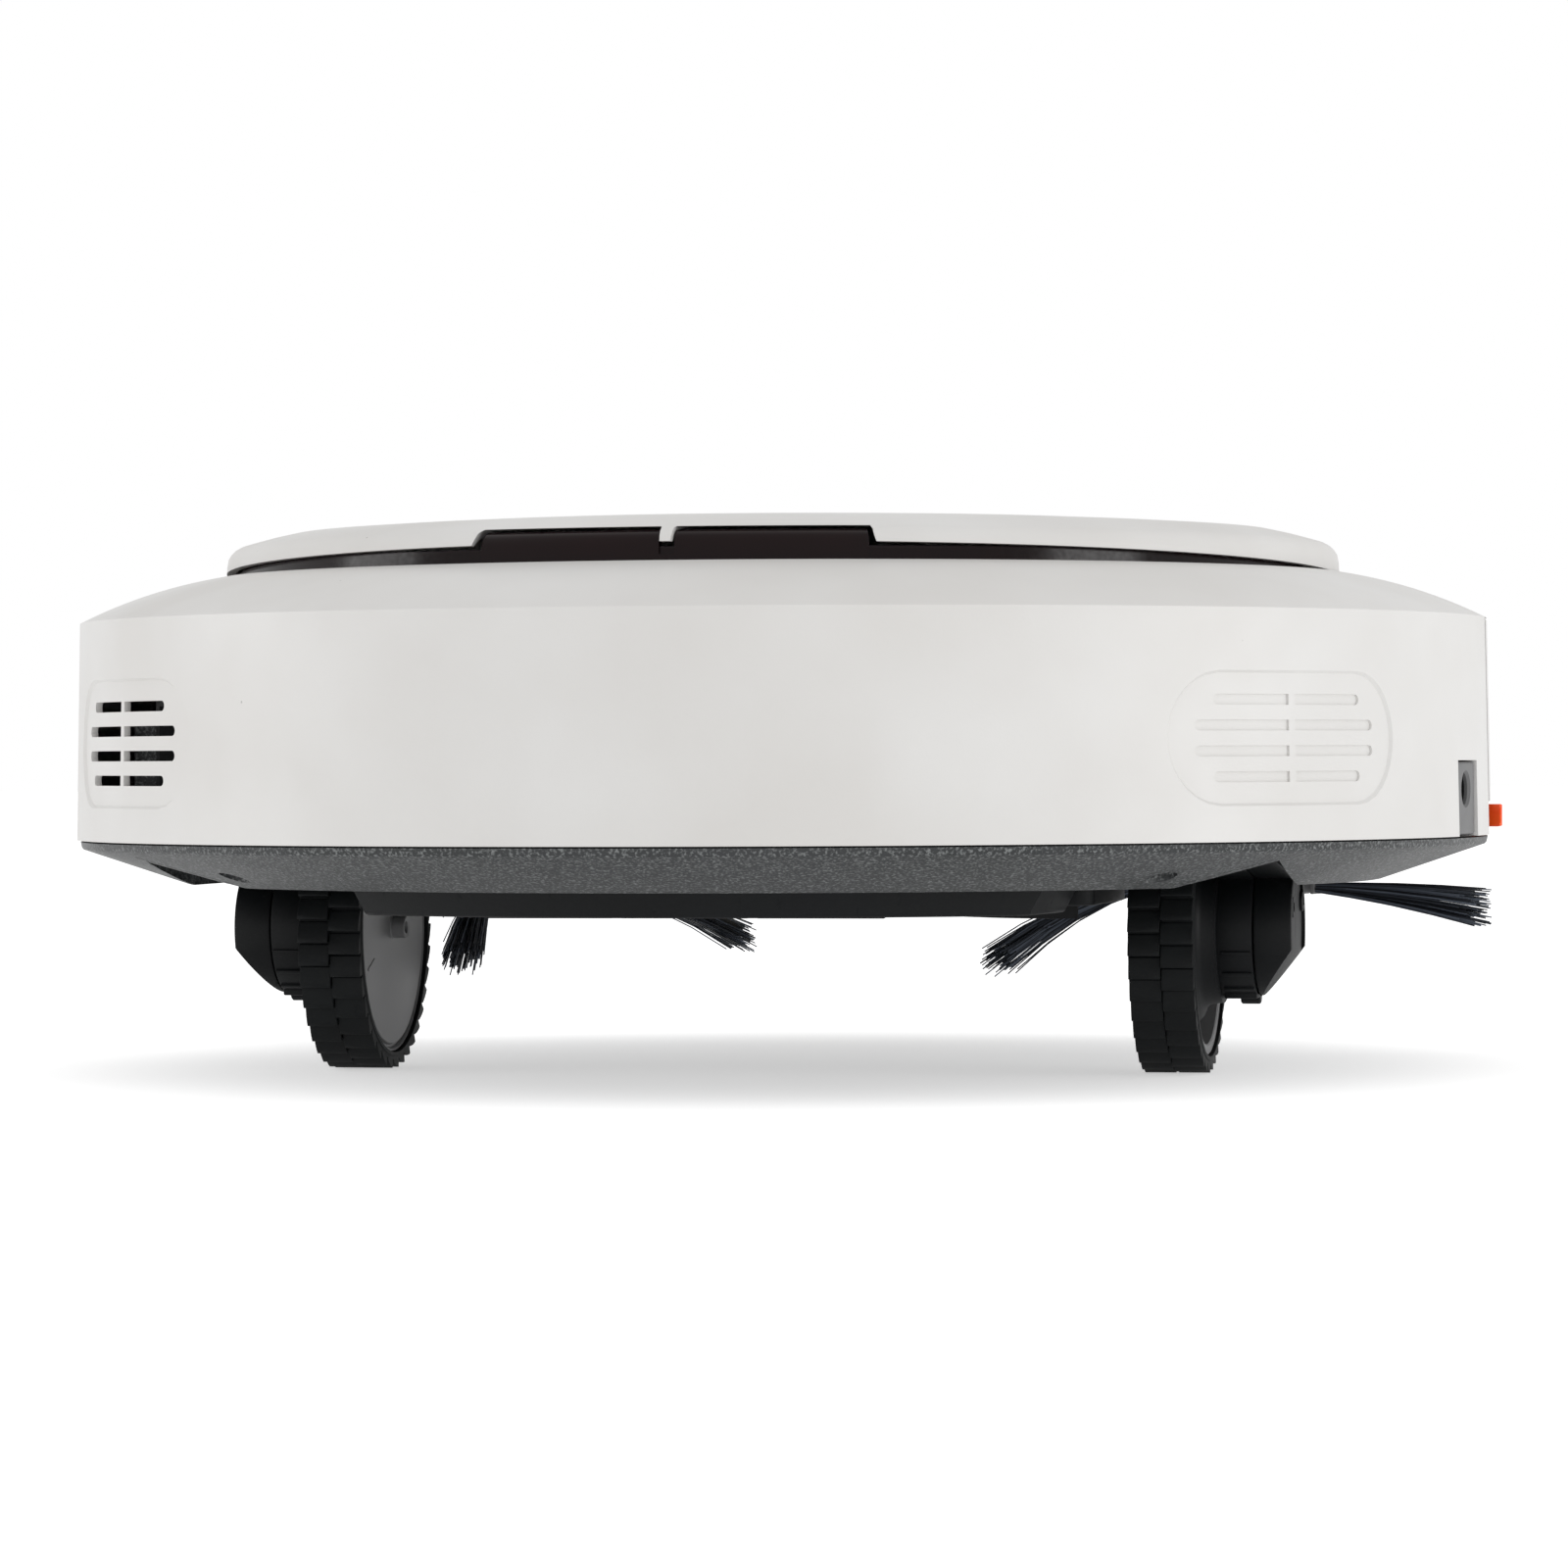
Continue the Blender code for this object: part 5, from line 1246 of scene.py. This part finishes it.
class VacuumColours(bpy.types.PropertyGroup):
    """Colours that a user would change, as sRGB hex codes."""
    casing: bpy.props.StringProperty(
        name="Casing", description="Lighter tone of the white casing", default="E4E3E1")
    casing_shade: bpy.props.StringProperty(
        name="Casing shade", description="Darker tone of the white casing", default="DDDBD8")
    switch: bpy.props.StringProperty(
        name="Switch", description="Colour of the power switch", default="FF5F14")


# ---------------------------------------------------------------- operators

class VACUUM_OT_finishes(bpy.types.Operator):
    """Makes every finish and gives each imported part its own"""
    bl_idname = "vacuum.finishes"
    bl_label = "Finishes"

    def execute(self, context):
        FINISHES.update(make_finishes())
        for part in frame["record"]["subparts"]:
            node = frame["nodes"][part["node"]]
            node.data.materials.clear()
            node.data.materials.append(FINISHES[part["material_slot"]])
        return {"FINISHED"}


class VACUUM_OT_casing(bpy.types.Operator):
    """Builds the white casing, the bumper and its sensor window"""
    bl_idname = "vacuum.casing"
    bl_label = "Casing and bumper"

    def execute(self, context):
        steps = context.scene.vacuum_sizes.casing_steps
        placed("casing", casing(steps), "white_plastic", "chassis", ["top_cover"])
        placed("bumper_wall", bumper(steps), "white_plastic", "bumper", ["front_bumper"])
        placed("sensor_window", sensor_window(), "smoked_plastic", "bumper", ["ir_window"])
        return {"FINISHED"}


class VACUUM_OT_lid(bpy.types.Operator):
    """Builds the lid, its smoked windows and the start button"""
    bl_idname = "vacuum.lid"
    bl_label = "Lid and button"

    def execute(self, context):
        steps = context.scene.vacuum_sizes.casing_steps
        placed("lid_shell", lid(steps), "white_plastic", "lid", ["lid"])
        placed("lid_window", smoked_skirt(), "smoked_plastic", "lid", ["smoked_skirt"])
        placed("lid_button", start_button(), "grey_plastic", "button", ["start_button"])
        return {"FINISHED"}


class VACUUM_OT_chassis(bpy.types.Operator):
    """Builds the black tray, the plates under it and the screws"""
    bl_idname = "vacuum.chassis"
    bl_label = "Chassis and underside"

    def execute(self, context):
        steps = context.scene.vacuum_sizes.casing_steps
        placed("chassis_tray", chassis(steps), "black_textured_plastic", "chassis", ["base_shell"])
        placed("rear_plate", rear_plate(), "dark_plastic", "chassis", ["rear_under_plate"])
        placed("battery_cover", battery_door(), "dark_plastic", "chassis", ["battery_door"])
        placed("suction_frame", brush_guard(), "dark_plastic", "chassis", ["brush_guard"])
        for name, side in SIDES:
            bm = crossed_screw(3.0, -6.4, 4.5, heading(side * SCREW_DEG, SCREW_R), 0.9)
            placed(f"screw_{name}", bm, "steel", "chassis", [f"case_screw_{name}"])
            x, y = PLATE_SCREW
            bm = crossed_screw(2.3, -15.9, -12.5, (side * x, y), 0.7)
            placed(f"plate_screw_{name}", bm, "steel", "chassis")
            place = (side * DOOR_SCREW_X, DOOR_Y[0] + 9)
            bm = crossed_screw(2.6, BOTTOM_Z + 0.1, BOTTOM_Z + 2.4, place, 0.7)
            placed(f"door_screw_{name}", bm, "steel", "chassis")
        return {"FINISHED"}


class VACUUM_OT_socket(bpy.types.Operator):
    """Builds the charging socket and the power switch"""
    bl_idname = "vacuum.socket"
    bl_label = "Socket and switch"

    def execute(self, context):
        placed("socket_insert", socket_face(), "grey_plastic", "chassis", ["dc_socket"])
        liner, pin = socket_inside()
        placed("socket_liner", liner, "dark_plastic", "chassis")
        placed("socket_pin", pin, "contact_metal", "chassis")
        placed("switch_rocker", rocker(), "orange_plastic", "switch", ["power_switch"])
        return {"FINISHED"}


class VACUUM_OT_wheels(bpy.types.Operator):
    """Builds the drive wheels, their gearboxes, motors and springs"""
    bl_idname = "vacuum.wheels"
    bl_label = "Drive wheels"

    def execute(self, context):
        sizes = context.scene.vacuum_sizes
        for name, side in SIDES:
            arm, wheel = f"arm_{name}", f"wheel_{name}"
            tread = tyre(side, sizes.tread_blocks, sizes.tread_depth / MM)
            for piece, bm, slot, body, node in (
                    ("tread", tread, "tyre_rubber", wheel, "tyre"),
                    ("wheel_disc", wheel_hub(side), "grey_plastic", wheel, "wheel_hub"),
                    ("gearbox_inner", gearbox_case(side), "dark_plastic", arm, "gearbox_case"),
                    ("gearbox_outer", gearbox_cover(side), "dark_plastic", arm, "gearbox_cover"),
                    ("arm_spring", torsion_spring(side), "steel", arm, "suspension_spring"),
                    ("motor_can", drive_motor(side), "steel", arm, "drive_motor")):
                placed(f"{piece}_{name}", bm, slot, body, [f"{node}_{name}"])
        return {"FINISHED"}


class VACUUM_OT_brushes(bpy.types.Operator):
    """Builds the side brushes and the main brush with their strands"""
    bl_idname = "vacuum.brushes"
    bl_label = "Brushes"

    def execute(self, context):
        strands = context.scene.vacuum_sizes.strands
        for seed, (name, side) in enumerate(SIDES):
            body = f"side_brush_{name}"
            placed(f"brush_hub_{name}", brush_hub(side, TUFTS[name]), "grey_plastic", body,
                   [f"side_brush_hub_{name}"])
            bm = brush_tufts(side, TUFTS[name], DROOPS[name], strands, 11 + seed)
            placed(f"brush_tufts_{name}", bm, "bristle", body, [f"side_brush_bristles_{name}"])
        placed("main_roller", main_brush(), "rubber", "brush", ["main_brush"])
        placed("main_roller_bristles", main_brush_bristles(), "bristle", "brush")
        return {"FINISHED"}


class VACUUM_OT_castor(bpy.types.Operator):
    """Builds the castor's fork and roller"""
    bl_idname = "vacuum.castor"
    bl_label = "Castor"

    def execute(self, context):
        placed("castor_drum", castor_fork(), "dark_plastic", "castor", ["castor_fork"])
        placed("castor_roller_tread", castor_wheel(), "rubber", "castor_roller", ["castor_wheel"])
        return {"FINISHED"}


class VACUUM_OT_stage(bpy.types.Operator):
    """Sets the floor, the soft light and the camera"""
    bl_idname = "vacuum.stage"
    bl_label = "Stage"

    def execute(self, context):
        sizes = context.scene.vacuum_sizes
        floor_and_backdrop()
        studio_world(sizes.glow)
        soft_box("key_right", (2.4, -0.55, 0.15), 15)
        soft_box("fill_left", (-2.4, -0.45, 0.12), 9)
        context.scene.view_settings.view_transform = "Standard"
        camera(sizes.lens)
        return {"FINISHED"}


OPERATORS = (VACUUM_OT_finishes, VACUUM_OT_casing, VACUUM_OT_lid, VACUUM_OT_chassis,
             VACUUM_OT_socket, VACUUM_OT_wheels, VACUUM_OT_brushes, VACUUM_OT_castor,
             VACUUM_OT_stage)


class VACUUM_PT_pieces(bpy.types.Panel):
    """Lists the pieces' operators, sizes and colours"""
    bl_label = "Robot vacuum"
    bl_space_type = "VIEW_3D"
    bl_region_type = "UI"
    bl_category = "Vacuum"

    def draw(self, context):
        for group in (context.scene.vacuum_sizes, context.scene.vacuum_colours):
            for name in group.__annotations__:
                self.layout.prop(group, name)
        for operator in OPERATORS:
            self.layout.operator(operator.bl_idname)


CLASSES = (VacuumSizes, VacuumColours, *OPERATORS, VACUUM_PT_pieces)


def register():
    for each in CLASSES:
        bpy.utils.register_class(each)
    bpy.types.Scene.vacuum_sizes = bpy.props.PointerProperty(type=VacuumSizes)
    bpy.types.Scene.vacuum_colours = bpy.props.PointerProperty(type=VacuumColours)


def unregister():
    del bpy.types.Scene.vacuum_colours
    del bpy.types.Scene.vacuum_sizes
    for each in reversed(CLASSES):
        bpy.utils.unregister_class(each)


def main():
    """Builds every piece in order."""
    register()
    for operator in OPERATORS:
        group, name = operator.bl_idname.split(".")
        getattr(getattr(bpy.ops, group), name)()


if __name__ == "__main__":
    main()
